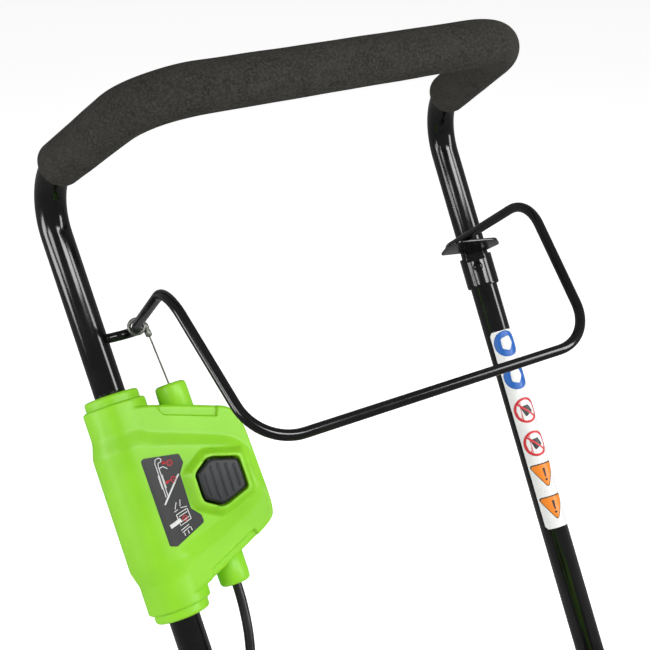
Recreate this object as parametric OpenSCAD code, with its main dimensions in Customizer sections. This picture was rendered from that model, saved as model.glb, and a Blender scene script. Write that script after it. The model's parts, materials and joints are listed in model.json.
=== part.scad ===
// Cordless reel mower: folding bail handle over a motor-driven cutting reel.
// The operator stands on the +Y side, the mower travels towards -Y and stands on Z = 0.

/* [Handle] */
// Slope of the handle above the ground, in degrees
handle_angle = 52.6; // [47:0.1:57]
// Distance up each leg from the deck hinge to the bail pivot
bail_s = 780; // [740:1:940]
// Distance up each leg from the deck hinge to the fold bolt
fold_s = 320; // [300:1:340]
// Half of the leg spacing, centre to centre, at the bail pivot
grip_half_w = 188.4; // [180:0.1:230]
// Outward splay of each leg, in degrees
splay = 1.95; // [0:0.05:3]
// Outside diameter of the handle tube
tube_d = 25.4; // [24:0.1:26]
// Wall of the handle tube
tube_wall = 1.5; // [1.2:0.1:2]
// Height of the leg's top bend above the bail pivot
top_rise = 138.9; // [130:0.1:170]
// How far the grip bar stands in front of the legs
grip_reach = 192.2; // [188:0.1:230]
// Drop of the grip bar below the top bends
grip_drop = 10.6; // [0:0.1:20]
// Inward step of the grip corners from the legs
grip_step = 33.7; // [20:0.1:40]
// Centreline radius of the top bends
top_bend_r = 45; // [35:1:60]
// Centreline radius of the grip corners
grip_bend_r = 52; // [40:1:60]
// Outside diameter of the foam grip
foam_d = 36.5; // [32:0.1:37]
// Distance from each top bend to the end of the foam
foam_gap = 44; // [42:1:60]

/* [Bail] */
// Diameter of the bail rod
bail_d = 8; // [7:0.1:8.5]
// Inward step of the bail's arms from the legs
bail_step = 33.4; // [30:0.1:40]
// Reach of the bail's arms in front of the legs
bail_reach = 138.4; // [120:0.1:142]
// Rise of the bail's arms from pivot to elbow
bail_rise = 8.8; // [0:0.1:12]
// Drop of the bail's crossbar below the pivot
bail_drop = 117; // [100:1:120]
// Reach of the bail's crossbar in front of the legs
bail_bar_reach = 184.4; // [170:0.1:186]

/* [Switch box] */
// Distance from the bail pivot down to the middle of the box
box_below = 138; // [134:1:150]
// Length of the box's barrel along the tube
box_len = 181; // [170:1:200]
// Reach of the box inward from the tube's axis
box_reach = 91; // [86:1:110]
// Half of the box's thickness
box_half_t = 24.5; // [24:0.1:28]
// Radius of the barrel round the tube
barrel_r = 25.5; // [25:0.1:29]
// Wall of the box's shells
box_wall = 2.5; // [2:0.1:3]

/* [Deck] */
// Length of the blades, which is the cutting width
cut_w = 360; // [300:1:440]
// Height of the bedknife's edge above the ground
cut_h = 40; // [36:0.5:48]
// Radius that the reel's blades sweep
reel_r = 68; // [60:0.5:69]
// Number of blades on the reel
blade_n = 5; // [4:1:7]
// Thickness of the side plates
plate_t = 4; // [3:0.5:6]
// Radius of the wheels
wheel_r = 120; // [110:1:130]
// Width of the tyres
tyre_w = 44; // [36:1:55]
// Radius of the rear roller
roller_r = 25; // [20:0.5:30]
// Wall of the hood
hood_wall = 3; // [2:0.5:4]

/* [Hidden] */
$fn = 64;

// Clearances
run_gap = 0.06;      // radial clearance of a pin or shaft that turns in its hole
gap = 0.4;           // clearance between bodies that pass each other
reel_gap = 0.7;      // blade tip to bedknife
bend_hair = 0.03;    // how much thinner a bend is than its straights
bend_lap = 0.5;      // how far a bend runs into its straights, in degrees

// Handle, in its own frame: x across, y up the slope, z in front of the legs
tube_r = tube_d / 2;
tube_bore = tube_r - tube_wall;
foam_r = foam_d / 2;
hinge_half_w = grip_half_w - bail_s * sin(splay);
bail_y = bail_s * cos(splay);
fold_y = fold_s * cos(splay);
fold_half_w = hinge_half_w + fold_s * sin(splay);
fold_bolt_r = 4;
upper_end_s = fold_s - 18;
lower_end_s = fold_s - 25;
lower_foot = 12;
brace_s = 120;
brace_r = 9.5;
brace_wall = 1.2;
top_s = bail_s + top_rise;
leg_foot = [hinge_half_w + upper_end_s * sin(splay), upper_end_s * cos(splay), 0];
leg_top = [hinge_half_w + top_s * sin(splay), top_s * cos(splay), 0];
grip_corner = [grip_half_w - grip_step, top_s * cos(splay) - grip_drop, grip_reach];
arm_dir = (grip_corner - leg_top) / norm(grip_corner - leg_top);
foam_end = leg_top + arm_dir * foam_gap;
handle_path = [
    leg_foot, leg_top, grip_corner, mirror_x(grip_corner), mirror_x(leg_top), mirror_x(leg_foot)
];
handle_bends = [0, top_bend_r, grip_bend_r, grip_bend_r, top_bend_r, 0];

// Fold brackets: two cheeks on each lower leg, joined behind the tubes by an upper and a lower web
cheek_t = 2.5;
cheek_half_w = 12;
cheek_low = -46;
cheek_high = 36;
cheek_gap = tube_r + cheek_high * sin(splay) + gap;
web_low = 16;
web_high = 12;
web_z = -tube_r - gap - cheek_t;
rivet_y = -36;
rivet_r = 3;
rivet_head_r = 5;
rivet_head = 1.5;
knob_seat = cheek_gap + cheek_t;
knob_r = 19;
knob_lobes = 6;

// Bail, in the handle's frame
bail_r = bail_d / 2;
bail_arm_x = grip_half_w - bail_step;
bail_foot = [grip_half_w + 5, bail_y, 0];
bail_heel = [bail_arm_x, bail_y, 0];
bail_elbow = [bail_arm_x + 5.8, bail_y + bail_rise, bail_reach];
bail_corner = [bail_arm_x - 11.2, bail_y - bail_drop, bail_bar_reach];
bail_heel_r = 17;
bail_elbow_r = 34;
bail_corner_r = 38;
bush_r = 7;
bail_path = [
    bail_foot, bail_heel, bail_elbow, bail_corner, mirror_x(bail_corner), mirror_x(bail_elbow),
    mirror_x(bail_heel), mirror_x(bail_foot)
];
bail_bends = [0, bail_heel_r, bail_elbow_r, bail_corner_r, bail_corner_r, bail_elbow_r, bail_heel_r, 0];
hook_at = mirror_x(bail_heel) + [0, 1.1, 19];
ferrule_top = hook_at + [7, 0, -1];
ferrule_tip = hook_at + [8.5, -10.5, -2];
ferrule_dir = unit(ferrule_tip - ferrule_top);

// Stop bracket on the right leg
shelf_drop = bail_r + 0.7;
shelf_roll = 8;
shelf_pitch = atan(bail_rise / bail_reach);
shelf_t = 2.5;
shelf_outline = [[-10, 11], [-21, 42], [-16, 50], [27, 50], [38, 39], [40, 32], [36, 13]];
clip_t = 2.5;
clip_top = 12;
clip_len = 31;
clip_screw_drop = 24;
clip_turn = 34;

// Switch box, in the left leg's frame: x inward from the tube, y up, z forward
box_s = bail_s - box_below;
box_half = box_len / 2;
collar_r = barrel_r - 4;
collar_len = 6.5;
ridge_r = barrel_r + 3.5;
ridge_half = box_half - 43.5;
deck_z = box_half_t + 3.5;
box_outline = [
    [0, box_half - 12], [18, box_half - 15], [box_reach - 11, box_half - 37.5], [box_reach + 1, box_half - 51.5],
    [box_reach + 2.5, 54.5 - box_half], [box_reach - 9.5, 40 - box_half], [18, 15 - box_half], [0, 12 - box_half]
];
ridge_outline = [
    [0, ridge_half], [box_reach - 18, ridge_half - 24], [box_reach - 9, ridge_half - 33],
    [box_reach - 9, 33 - ridge_half], [box_reach - 18, 24 - ridge_half], [0, -ridge_half]
];
button_x = box_reach - 38;
button_outline = [[-16.7, 10.4], [-3.5, 19], [19.4, 12], [19.4, -12], [-3.5, -19], [-16.7, -10.4]];
button_rim = 1.22;
rim_z = deck_z + 7.5;
button_top = rim_z + 2;
boot_x = 48;
boot_z = 5;
boot_base_y = box_half - 35;
boot_tip_y = box_half - 5;
boot_base_r = 13.4;
boot_tip_r = 12;
box_posts = [[76, box_half - 56], [76, 56 - box_half], [26, box_half - 30], [26, 30 - box_half]];
slider_y = -2;
slider_len = 34;
wire_r = 0.8;

// Switch lead: route down the left leg, as [inward, distance up the leg, forward]
lead_r = 4;
lead_upper_route = [
    [48, 585, 5], [48, 570, 5], [48, 552, 5], [47, 536, 5], [44.5, 518, 5], [40.5, 500, 4], [35, 482, 3],
    [29, 464, 2], [23.5, 446, 1], [19.5, 428, 0], [18, 412, 0], [18, 396, 0], [18, 382, 0]
];
lead_fold_route = [
    [18, 382, 0], [18, 374, 0], [20.5, 364, 0], [24, 353, 0], [28, 342, 0], [30.5, 331, 0], [31, 320, 0],
    [30.5, 309, 0], [28, 297, 0], [24.5, 285, 0], [21, 273, 0], [18.5, 261, 0], [18.5, 252, 0]
];
lead_lower_route = [
    [18.5, 252, 0], [18.5, 243, 0], [17.5, 232, 4], [14, 220, 10], [9.5, 208, 14.5], [6, 194, 16.2],
    [6, 178, 16.2], [6, 158, 16.2], [6, 138, 16.2], [6, 118, 16.2], [6, 98, 16.2], [6, 80, 16.2],
    [6, 66, 16.2]
];
// Last stretch into the hood, as [across, along, up] from the deck hinge's axis
lead_deck_route = [
    [-155, 15, 46], [-149, 8, 37], [-141, 2, 30], [-133, -5, 26.5], [-129, -13, 26], [-129, -22, 26],
    [-129, -31, 26]
];
lead_entry = [-129, 26];
lead_foot = lead_lower_route[len(lead_lower_route) - 1];
lead_deck_path = concat([for (along = [0, -9]) to_deck(on_left(lead_foot + [0, along, 0]))], lead_deck_route);

// Deck: y measured from the wheel axle, z from the ground
axle_z = wheel_r;
reel_y = -78;
bed_y = reel_y + 12;
reel_z = cut_h + sqrt(pow(reel_r + reel_gap, 2) - pow(bed_y - reel_y, 2));
motor_y = reel_y + 66;
motor_z = reel_z + 100;
hinge_y = 140;
hinge_z = 150;
roller_y = 135;
roller_z = roller_r;
arm_y = 85;
arm_z = 52;
plate_in = cut_w / 2 + 6;
plate_out = plate_in + plate_t;
pulley_in = plate_out + 6;
pulley_w = 12;
reel_pulley_r = 32;
motor_pulley_r = 12;
belt_t = 3;
belt_w = 9;
case_wall = 2.5;
case_out = pulley_in + pulley_w + 4;
hub_in = case_out + 3;
hub_out = hub_in + tyre_w;
shaft_r = 8;
motor_shaft_r = 4;
axle_r = 8;
motor_r = 32;
bearing_r = 14;
shield_r = reel_r + 6;
shield_t = 2;
tie_r = 6;
front_tie = [reel_y - 68, reel_z + 52];
rear_tie = [60, 90];
hood_half = plate_in - 3;
hood_front = [reel_y - 46, reel_z + 68];
hood_back = 118;
hood_top = motor_z + 54;
hood_outline = [
    hood_front, [-96, hood_top - 44], [-52, hood_top - 12], [0, hood_top], [60, hood_top - 10],
    [108, hood_top - 36], [hood_back, hood_top - 56], [hood_back, 100]
];
hood_inside = concat(hood_outline, [[hood_back, 30], [-220, 30], [-220, hood_front[1]]]);
tray_half = 64;
tray_y0 = 30;
tray_y1 = 110;
tray_z0 = 112;
tray_z1 = hood_top - 62;
tray_wall = 2;
lid_y0 = tray_y0 - 4;
lid_y1 = tray_y1 + 2;
lid_half = tray_half + 2;
lid_axis = [lid_y0 - 2, hood_top + 1];
knuckle_r = 4;
lid_pin_r = 1.7;
key_x = 120;
key_y = 84;
key_r = 5;
key_boss_r = 10;
pivot_r = 5;
spacer_r = 9;
spacer_in = hinge_half_w + tube_r + gap + spacer_r * sin(splay);
stop_r = 5;
stop_s = 24;
stop_lift = tube_r + stop_r + gap;
stop_at = [
    hinge_y + stop_s * cos(handle_angle) + stop_lift * sin(handle_angle),
    hinge_z + stop_s * sin(handle_angle) - stop_lift * cos(handle_angle)
];
catcher_at = [128, 104];
catcher_pitch = 24;
catcher_hole_r = 3.3;
plate_knots = [
    [[reel_y, reel_z], 40], [front_tie, 14], [[motor_y, motor_z], 38], [[0, axle_z], 34],
    [[-18, cut_h + 8], 14]
];
rear_knots = [
    [[0, axle_z], 34], [[hinge_y, hinge_z], 18], [stop_at, 10], [catcher_at - [0, catcher_pitch / 2], 12],
    [[arm_y, arm_z], 16], [[-18, cut_h + 8], 14]
];
blade_depth = 14;
blade_t = 3;
blade_twist = 70;
blade_tip = sqrt(pow(reel_r, 2) - pow(blade_t / 2, 2));
spider_x = cut_w / 2 - 10;
spider_t = 3;
bed_t = 3;
bar_front = bed_y + 38;
bar_back = bed_y + 58;
bar_t = 17;
hub_r = wheel_r - 22;
arm_t = 4;
arm_pin_r = 5;
roller_half = cut_w / 2 - 14;
roller_pin_r = 4;
wire_mouth = on_left([boot_x, box_s + boot_tip_y, boot_z]);
wire_foot = on_left([boot_x, box_s + slider_y - 20 + slider_len, boot_z]);
lead_color = [0.05, 0.05, 0.05];

// Front and rear ends of the whole mower, which centre it on the origin
front_end = front_tie[0] - 14;
top_bend_angle = acos(arm_dir * [sin(splay), cos(splay), 0]);
top_bend_start = top_s - top_bend_r * tan(top_bend_angle / 2);
rear_end = hinge_y + top_bend_start * cos(handle_angle) + (top_bend_r + tube_r)
    - top_bend_r * sin(handle_angle);
shift_y = -(front_end + rear_end) / 2;

// Vector helpers and frames
function unit(v) = v / norm(v);
function mirror_x(p) = [-p[0], p[1], p[2]];
function across(d) = abs(d[0]) < 0.9 ? unit(cross(d, [1, 0, 0])) : unit(cross(d, [0, 1, 0]));

module axes(at, ex, ey, ez)
    multmatrix([
        [ex[0], ey[0], ez[0], at[0]],
        [ex[1], ey[1], ez[1], at[1]],
        [ex[2], ey[2], ez[2], at[2]],
        [0, 0, 0, 1]
    ]) children();

module on_ground() translate([0, shift_y, 0]) children();

module on_handle()
    on_ground() translate([0, hinge_y, hinge_z]) rotate([handle_angle, 0, 0]) children();

// side is 1 for the right leg and -1 for the left: x outward, y up the leg, z forward
module on_leg(side)
    on_handle() mirror([side < 0 ? 1 : 0, 0, 0]) translate([hinge_half_w, 0, 0])
        rotate([0, 0, -splay]) children();

module on_box() on_leg(-1) translate([0, box_s, 0]) mirror([1, 0, 0]) children();

// A cylinder along X between two places
module x_rod(x0, x1, r, y = 0, z = 0)
    translate([x0, y, z]) rotate([0, 90, 0]) cylinder(r = r, h = x1 - x0);

module x_ring(x0, x1, r, bore, y = 0, z = 0)
    translate([x0, y, z]) rotate([0, 90, 0]) linear_extrude(x1 - x0) difference() {
        circle(r = r);
        circle(r = bore);
    }

// A flat outline in the YZ plane, given thickness along X
module x_plate(x0, x1)
    translate([x0, 0, 0]) rotate([90, 0, 90]) linear_extrude(x1 - x0) children();

// A round bar or tube through corner points, with true bends
function bend_cut(p, bends, i) =
    bends[i] * tan(acos(unit(p[i] - p[i - 1]) * unit(p[i + 1] - p[i])) / 2);

module ring_2d(r, bore)
    difference() {
        circle(r = r);
        if (bore > 0) circle(r = bore);
    }

module bent_bar(p, bends, r, bore = 0) {
    last = len(p) - 1;
    for (i = [0 : last - 1]) {
        d = unit(p[i + 1] - p[i]);
        from = i == 0 ? 0 : bend_cut(p, bends, i);
        to = i == last - 1 ? 0 : bend_cut(p, bends, i + 1);
        axes(p[i] + d * from, across(d), cross(d, across(d)), d)
            linear_extrude(norm(p[i + 1] - p[i]) - from - to) ring_2d(r, bore);
    }
    // A bend is thinner by a hair and runs a little way into the straights at its ends
    for (i = [1 : last - 1]) {
        d = unit(p[i] - p[i - 1]);
        e = unit(p[i + 1] - p[i]);
        inward = unit(e - d * (e * d));
        middle = p[i] - d * bend_cut(p, bends, i) + inward * bends[i];
        axes(middle, -inward, d, cross(-inward, d)) rotate(-bend_lap)
            rotate_extrude(angle = acos(d * e) + 2 * bend_lap) translate([bends[i], 0])
                ring_2d(r - bend_hair, bore > 0 ? bore + bend_hair : 0);
    }
}

// A flexible lead: rings of eight points along a route, joined into one skin
function route_dir(p, i) = unit(p[min(i + 1, len(p) - 1)] - p[max(i - 1, 0)]);

module lead(p, r, sides = 8) {
    n = len(p);
    points = [
        for (i = [0 : n - 1])
            let (d = route_dir(p, i), ex = unit([1, 0, 0] - d * d[0]), ey = cross(d, ex))
                for (k = [0 : sides - 1])
                    p[i] + r * (cos(360 * k / sides) * ex + sin(360 * k / sides) * ey)
    ];
    skin = [
        for (i = [0 : n - 2], k = [0 : sides - 1])
            let (a = i * sides + k, b = i * sides + (k + 1) % sides)
                each [[a, a + sides, b + sides], [a, b + sides, b]]
    ];
    start_cap = [[for (k = [0 : sides - 1]) k]];
    end_cap = [[for (k = [sides - 1 : -1 : 0]) (n - 1) * sides + k]];
    polyhedron(points = points, faces = concat(start_cap, skin, end_cap));
}

// ---- upper handle ----

module upper_tube() color([0.03, 0.03, 0.035]) on_handle() difference() {
    bent_bar(handle_path, handle_bends, tube_r, tube_bore);
    for (side = [-1, 1]) {
        x_rod(side * fold_half_w - 20, side * fold_half_w + 20, fold_bolt_r + run_gap, fold_y);
        mirror([side < 0 ? 1 : 0, 0, 0]) x_rod(bail_arm_x, grip_half_w, bail_r + gap, bail_y);
    }
    translate([hinge_half_w, 0, 0]) rotate([0, 0, -splay])
        rotate([0, -clip_turn, 0]) translate([0, bail_s - clip_screw_drop, 0]) cylinder(r = 2, h = 20);
}

module foam_grip() color([0.17, 0.165, 0.155]) on_handle()
    bent_bar(
        [foam_end, grip_corner, mirror_x(grip_corner), mirror_x(foam_end)],
        [0, grip_bend_r, grip_bend_r, 0], foam_r, tube_r
    );

module bail_bushes() color("dimgray") on_handle() for (side = [-1, 1]) intersection() {
    difference() {
        x_rod(side * grip_half_w - 12, side * grip_half_w + 12, bush_r, bail_y);
        x_rod(side * grip_half_w - 14, side * grip_half_w + 14, bail_r + run_gap, bail_y);
    }
    mirror([side < 0 ? 1 : 0, 0, 0]) translate([hinge_half_w, 0, 0]) rotate([0, 0, -splay])
        translate([0, bail_s - 12, 0]) rotate([-90, 0, 0]) cylinder(r = tube_bore, h = 24);
}

module stop_shelf()
    translate([bail_arm_x, bail_y - shelf_drop, 0]) rotate([0, 0, -shelf_roll]) rotate([-shelf_pitch, 0, 0])
        rotate([90, 0, 0]) linear_extrude(shelf_t)
            polygon(shelf_outline);

module stop_bracket() color([0.05, 0.05, 0.05]) on_handle() union() {
    stop_shelf();
    translate([hinge_half_w, 0, 0]) rotate([0, 0, -splay]) rotate([0, -clip_turn, 0]) {
        difference() {
            translate([0, bail_s - clip_top - clip_len, 0]) rotate([-90, 0, 0])
                cylinder(r = tube_r + clip_t, h = clip_len);
            translate([0, bail_s - clip_top - clip_len - 1, 0]) rotate([-90, 0, 0])
                cylinder(r = tube_r, h = clip_len + 2);
            translate([-30, bail_s - clip_top - clip_len - 1, -60]) cube([60, clip_len + 2, 60]);
            translate([0, bail_s - clip_screw_drop, 0]) cylinder(r = 2, h = 30);
        }
        translate([-9, bail_s - clip_top - 2, tube_r + 0.2]) cube([18, 4, clip_t - 0.4]);
    }
}

module bracket_screw() color("silver") on_handle()
    translate([hinge_half_w, 0, 0]) rotate([0, 0, -splay]) rotate([0, -clip_turn, 0])
    translate([0, bail_s - clip_screw_drop, 0]) {
        translate([0, 0, tube_r - 4]) cylinder(r = 2, h = clip_t + 4);
        difference() {
            translate([0, 0, tube_r + clip_t]) cylinder(r = 4.4, h = 3.2);
            translate([0, 0, tube_r + clip_t + 1.6]) cylinder(r = 1.8, h = 3, $fn = 6);
        }
    }

// ---- switch box ----

module along_tube(r, half)
    translate([0, -half, 0]) rotate([-90, 0, 0]) cylinder(r = r, h = 2 * half);

module boot_shape(grow = 0)
    translate([boot_x, boot_base_y, boot_z]) rotate([-90, 0, 0])
        cylinder(r1 = boot_base_r + grow, r2 = boot_tip_r + grow, h = boot_tip_y - boot_base_y);

module box_solid() {
    along_tube(barrel_r, box_half - collar_len);
    along_tube(collar_r, box_half);
    translate([0, 0, -box_half_t]) linear_extrude(2 * box_half_t) polygon(box_outline);
}

module box_ridge() {
    along_tube(ridge_r, ridge_half);
    linear_extrude(deck_z) polygon(ridge_outline);
    translate([button_x, 0, 0]) linear_extrude(rim_z) scale(button_rim) polygon(button_outline);
}

module box_hollow() {
    along_tube(barrel_r - box_wall, box_half - 12);
    translate([0, 0, -box_half_t + box_wall]) linear_extrude(2 * (box_half_t - box_wall))
        offset(delta = -box_wall) polygon(box_outline);
}

module box_cuts() {
    along_tube(tube_r, box_half + 1);
    boot_shape();
    mirror([0, 1, 0]) boot_shape();
}

module post_ring(x, y, z0, z1, r, bore)
    translate([x, y, z0]) linear_extrude(z1 - z0) difference() {
        circle(r = r);
        circle(r = bore);
    }

module switch_front_shell() color([0.42, 0.74, 0.05]) on_box() {
    difference() {
        intersection() {
            union() {
                box_solid();
                box_ridge();
            }
            translate([-60, -200, 0]) cube([200, 400, 100]);
        }
        box_hollow();
        box_cuts();
        translate([button_x, 0, 0]) linear_extrude(rim_z + 1) offset(delta = gap) polygon(button_outline);
    }
    for (p = box_posts) post_ring(p[0], p[1], 0, box_half_t - box_wall, 4, 1.5);
}

module switch_rear_shell() color([0.38, 0.68, 0.05]) on_box() {
    difference() {
        intersection() {
            union() {
                box_solid();
                along_tube(ridge_r, ridge_half);
            }
            translate([-60, -200, -100]) cube([200, 400, 100]);
        }
        box_hollow();
        box_cuts();
        for (p = box_posts) translate([p[0], p[1], -30]) cylinder(r = 1.5, h = 30);
        for (p = box_posts) translate([p[0], p[1], -30]) cylinder(r = 3.2, h = 30 - box_half_t + 2);
    }
    for (p = box_posts) post_ring(p[0], p[1], -box_half_t + box_wall, 0, 4, 1.5);
}

module switch_screws() color("silver") on_box() for (p = box_posts) translate([p[0], p[1], 0]) {
    translate([0, 0, -box_half_t + 2]) cylinder(r = 1.5, h = box_half_t + 8);
    translate([0, 0, -box_half_t]) cylinder(r = 3.2, h = 2);
}

module boots() color([0.4, 0.72, 0.05]) on_box() {
    difference() {
        boot_shape();
        translate([boot_x, 0, boot_z]) rotate([-90, 0, 0]) cylinder(r = wire_r + 0.6, h = 120);
    }
    mirror([0, 1, 0]) difference() {
        boot_shape();
        translate([boot_x, 0, boot_z]) rotate([-90, 0, 0]) cylinder(r = lead_r + 0.1, h = 120);
    }
}

module switch_decal() color([0.16, 0.16, 0.17]) on_box()
    translate([0, 0, deck_z]) linear_extrude(0.3)
        polygon([
            [12, 36], [14, 37.5], [31, 31.5], [32, 24], [28, 18], [28, -14], [31.5, -20], [32, -28],
            [14, -37.5], [12, -36]
        ]);

module micro_switch() color("black") on_box() {
    translate([boot_x - 18, -44, -10]) cube([30, 14, 12]);
    translate([boot_x - 2, -30, -6]) cube([4, 5, 4]);
    translate([boot_x - 21, -48, -box_half_t + box_wall]) cube([36, 22, box_half_t - box_wall - 10]);
}

module switch_slider() color("white") on_box() {
    translate([boot_x - 6, slider_y - 20, boot_z - 4]) cube([12, slider_len, 8]);
    translate([boot_x - 3, slider_y - 20, boot_z - 9]) cube([6, 8, 5]);
}

module slider_spring() color("silver") on_box()
    translate([boot_x, slider_y - 20 + slider_len, boot_z]) rotate([-90, 0, 0])
        linear_extrude(boot_base_y - slider_y + 20 - slider_len) difference() {
            circle(r = 5);
            circle(r = 4);
        }

module lock_button() color([0.09, 0.09, 0.09]) on_box() translate([button_x, 0, 0]) {
    translate([0, 0, deck_z - 8]) linear_extrude(button_top - deck_z + 8) polygon(button_outline);
    translate([0, 0, deck_z - 10.5]) linear_extrude(2.5) scale(1.1) polygon(button_outline);
}

// ---- bail ----

module bail_rod() color([0.03, 0.03, 0.035]) on_handle() bent_bar(bail_path, bail_bends, bail_r);

module wire_hook() color("silver") on_handle() {
    translate(hook_at) rotate_extrude() translate([bail_r + 1.9, 0]) circle(r = 1.2);
    axes(ferrule_top, across(ferrule_dir), cross(ferrule_dir, across(ferrule_dir)), ferrule_dir)
        cylinder(r = 2.3, h = norm(ferrule_tip - ferrule_top));
}

module pull_wire() color("gray") on_handle()
    lead([ferrule_tip, ferrule_tip + [1, -20, -4], wire_mouth + [0, 8, 0.6], wire_mouth, wire_foot], wire_r);

// ---- lower handle ----

module lower_tube(side) color([0.03, 0.03, 0.035]) difference() {
    on_leg(side) translate([0, -lower_foot, 0]) rotate([-90, 0, 0])
        linear_extrude(lower_end_s + lower_foot) ring_2d(tube_r, tube_bore);
    on_handle() x_rod(side * hinge_half_w - 20, side * hinge_half_w + 20, pivot_r + run_gap);
    on_handle() x_rod(side * fold_half_w - 20, side * fold_half_w + 20, rivet_r, fold_y + rivet_y);
}

module lower_tube_left() lower_tube(-1);
module lower_tube_right() lower_tube(1);

module lower_brace() color([0.03, 0.03, 0.035]) on_handle() difference() {
    x_ring(-hinge_half_w - 10, hinge_half_w + 10, brace_r, brace_r - brace_wall, brace_s);
    for (side = [-1, 1]) mirror([side < 0 ? 1 : 0, 0, 0]) translate([hinge_half_w, 0, 0])
        rotate([0, 0, -splay]) {
            translate([0, brace_s - 30, 0]) rotate([-90, 0, 0]) cylinder(r = tube_r, h = 60);
            translate([0, brace_s - 30, -20]) cube([40, 60, 40]);
        }
}

module fold_brackets() color([0.05, 0.05, 0.05]) on_handle() for (side = [-1, 1]) difference() {
    translate([side * fold_half_w, fold_y, 0]) {
        for (k = [-1, 1]) translate([k * (cheek_gap + cheek_t / 2) - cheek_t / 2, cheek_low, -cheek_half_w])
            cube([cheek_t, cheek_high - cheek_low, 2 * cheek_half_w]);
        for (web = [[cheek_high - web_high, web_high], [cheek_low, web_low]])
            translate([-cheek_gap - cheek_t, web[0], web_z])
                cube([2 * (cheek_gap + cheek_t), web[1], cheek_t]);
        for (k = [-1, 1], web = [[cheek_high - web_high, web_high], [cheek_low, web_low]])
            translate([k * (cheek_gap + cheek_t / 2) - cheek_t / 2, web[0], web_z])
                cube([cheek_t, web[1], -web_z - cheek_half_w + 1]);
        translate([-cheek_gap - 1, cheek_low, web_z + 1]) cube([2 * cheek_gap + 2, web_low, tube_r]);
    }
    mirror([side < 0 ? 1 : 0, 0, 0]) translate([hinge_half_w, 0, 0]) rotate([0, 0, -splay])
        translate([0, fold_s - 70, 0]) rotate([-90, 0, 0]) cylinder(r = tube_r, h = 70);
    x_rod(side * fold_half_w - 30, side * fold_half_w + 30, fold_bolt_r, fold_y);
    x_rod(side * fold_half_w - 30, side * fold_half_w + 30, rivet_r, fold_y + rivet_y);
}

// The pivot bolts, and the rivets that hold each bracket to its lower tube
module fold_bolts() color("silver") on_handle() for (side = [-1, 1])
    mirror([side < 0 ? 1 : 0, 0, 0]) translate([fold_half_w, fold_y, 0]) {
        x_rod(-knob_seat, knob_seat + 14, fold_bolt_r);
        x_rod(-knob_seat - 4, -knob_seat, 7);
        x_rod(-knob_seat - rivet_head, knob_seat + rivet_head, rivet_r, rivet_y);
        for (head = [-knob_seat - rivet_head, knob_seat])
            x_rod(head, head + rivet_head, rivet_head_r, rivet_y);
    }

module star_2d(r, lobes)
    difference() {
        circle(r = r);
        for (k = [0 : lobes - 1])
            rotate(360 * (k + 0.5) / lobes) translate([r * 1.12, 0]) circle(r = r * 0.3);
    }

module fold_knob(side) color([0.07, 0.07, 0.07]) on_handle()
    mirror([side < 0 ? 1 : 0, 0, 0]) translate([fold_half_w + knob_seat + gap, fold_y, 0]) rotate([0, 90, 0])
        difference() {
            union() {
                cylinder(r = 10, h = 6);
                translate([0, 0, 6]) linear_extrude(12) star_2d(knob_r, knob_lobes);
            }
            translate([0, 0, -1]) cylinder(r = fold_bolt_r + run_gap, h = 15);
        }

module fold_knob_left() fold_knob(-1);
module fold_knob_right() fold_knob(1);

// ---- lead ----

function on_left(p) = [
    -(hinge_half_w + p[1] * sin(splay) - p[0] * cos(splay)),
    p[1] * cos(splay) + p[0] * sin(splay),
    p[2]
];
function to_deck(p) = [
    p[0],
    p[1] * cos(handle_angle) - p[2] * sin(handle_angle),
    p[1] * sin(handle_angle) + p[2] * cos(handle_angle)
];
function left_route(route) = [for (p = route) on_left(p)];

module lead_upper() color(lead_color) on_handle() lead(left_route(lead_upper_route), lead_r);
module lead_fold_loop() color(lead_color) on_handle() lead(left_route(lead_fold_route), lead_r);
module lead_lower() color(lead_color) on_handle() lead(left_route(lead_lower_route), lead_r);
module lead_deck_loop() color(lead_color) on_ground() translate([0, hinge_y, hinge_z])
    lead(lead_deck_path, lead_r);

// A clip: a band round the tube with a smaller eye for the lead
module lead_clip(s, eye)
    on_leg(-1) translate([0, s, 0]) rotate([-90, 0, 0]) linear_extrude(9) difference() {
        union() {
            circle(r = tube_r + 1.6);
            translate([-eye[0], -eye[1]]) circle(r = lead_r + 1.8);
        }
        circle(r = tube_r);
        translate([-eye[0], -eye[1]]) circle(r = lead_r + 0.15);
    }

module lead_clips_upper() color([0.1, 0.1, 0.1]) lead_clip(396, [18, 0]);
module lead_clips_lower() color([0.1, 0.1, 0.1]) {
    lead_clip(168, [6, 16.2]);
    lead_clip(84, [6, 16.2]);
}

// ---- label ----

module tube_label() color("white") on_leg(1) translate([0, bail_s - 278, 0]) rotate([-90, 0, 0])
    rotate(200) rotate_extrude(angle = 140) translate([tube_r, 0]) square([0.25, 190]);

// ---- deck ----

module plate_outline() {
    for (knots = [plate_knots, rear_knots]) hull() for (k = knots) translate(k[0]) circle(r = k[1]);
}

module side_plate(side) color([0.08, 0.08, 0.085]) on_ground() mirror([side < 0 ? 1 : 0, 0, 0]) difference() {
    x_plate(plate_in, plate_out) plate_outline();
    x_rod(plate_in - 1, plate_out + 1, bearing_r, reel_y, reel_z);
    x_rod(plate_in - 1, plate_out + 1, axle_r, 0, axle_z);
    x_rod(plate_in - 1, plate_out + 1, pivot_r, hinge_y, hinge_z);
    x_rod(plate_in - 1, plate_out + 1, arm_pin_r + run_gap, arm_y, arm_z);
    x_rod(plate_in - 1, plate_out + 1, stop_r, stop_at[0], stop_at[1]);
    for (k = [-0.5, 0.5])
        x_rod(plate_in - 1, plate_out + 1, catcher_hole_r, catcher_at[0], catcher_at[1] + k * catcher_pitch);
    if (side < 0) x_rod(plate_in - 1, plate_out + 1, motor_shaft_r + 3, motor_y, motor_z);
}

module side_plate_left() side_plate(-1);
module side_plate_right() side_plate(1);

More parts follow.
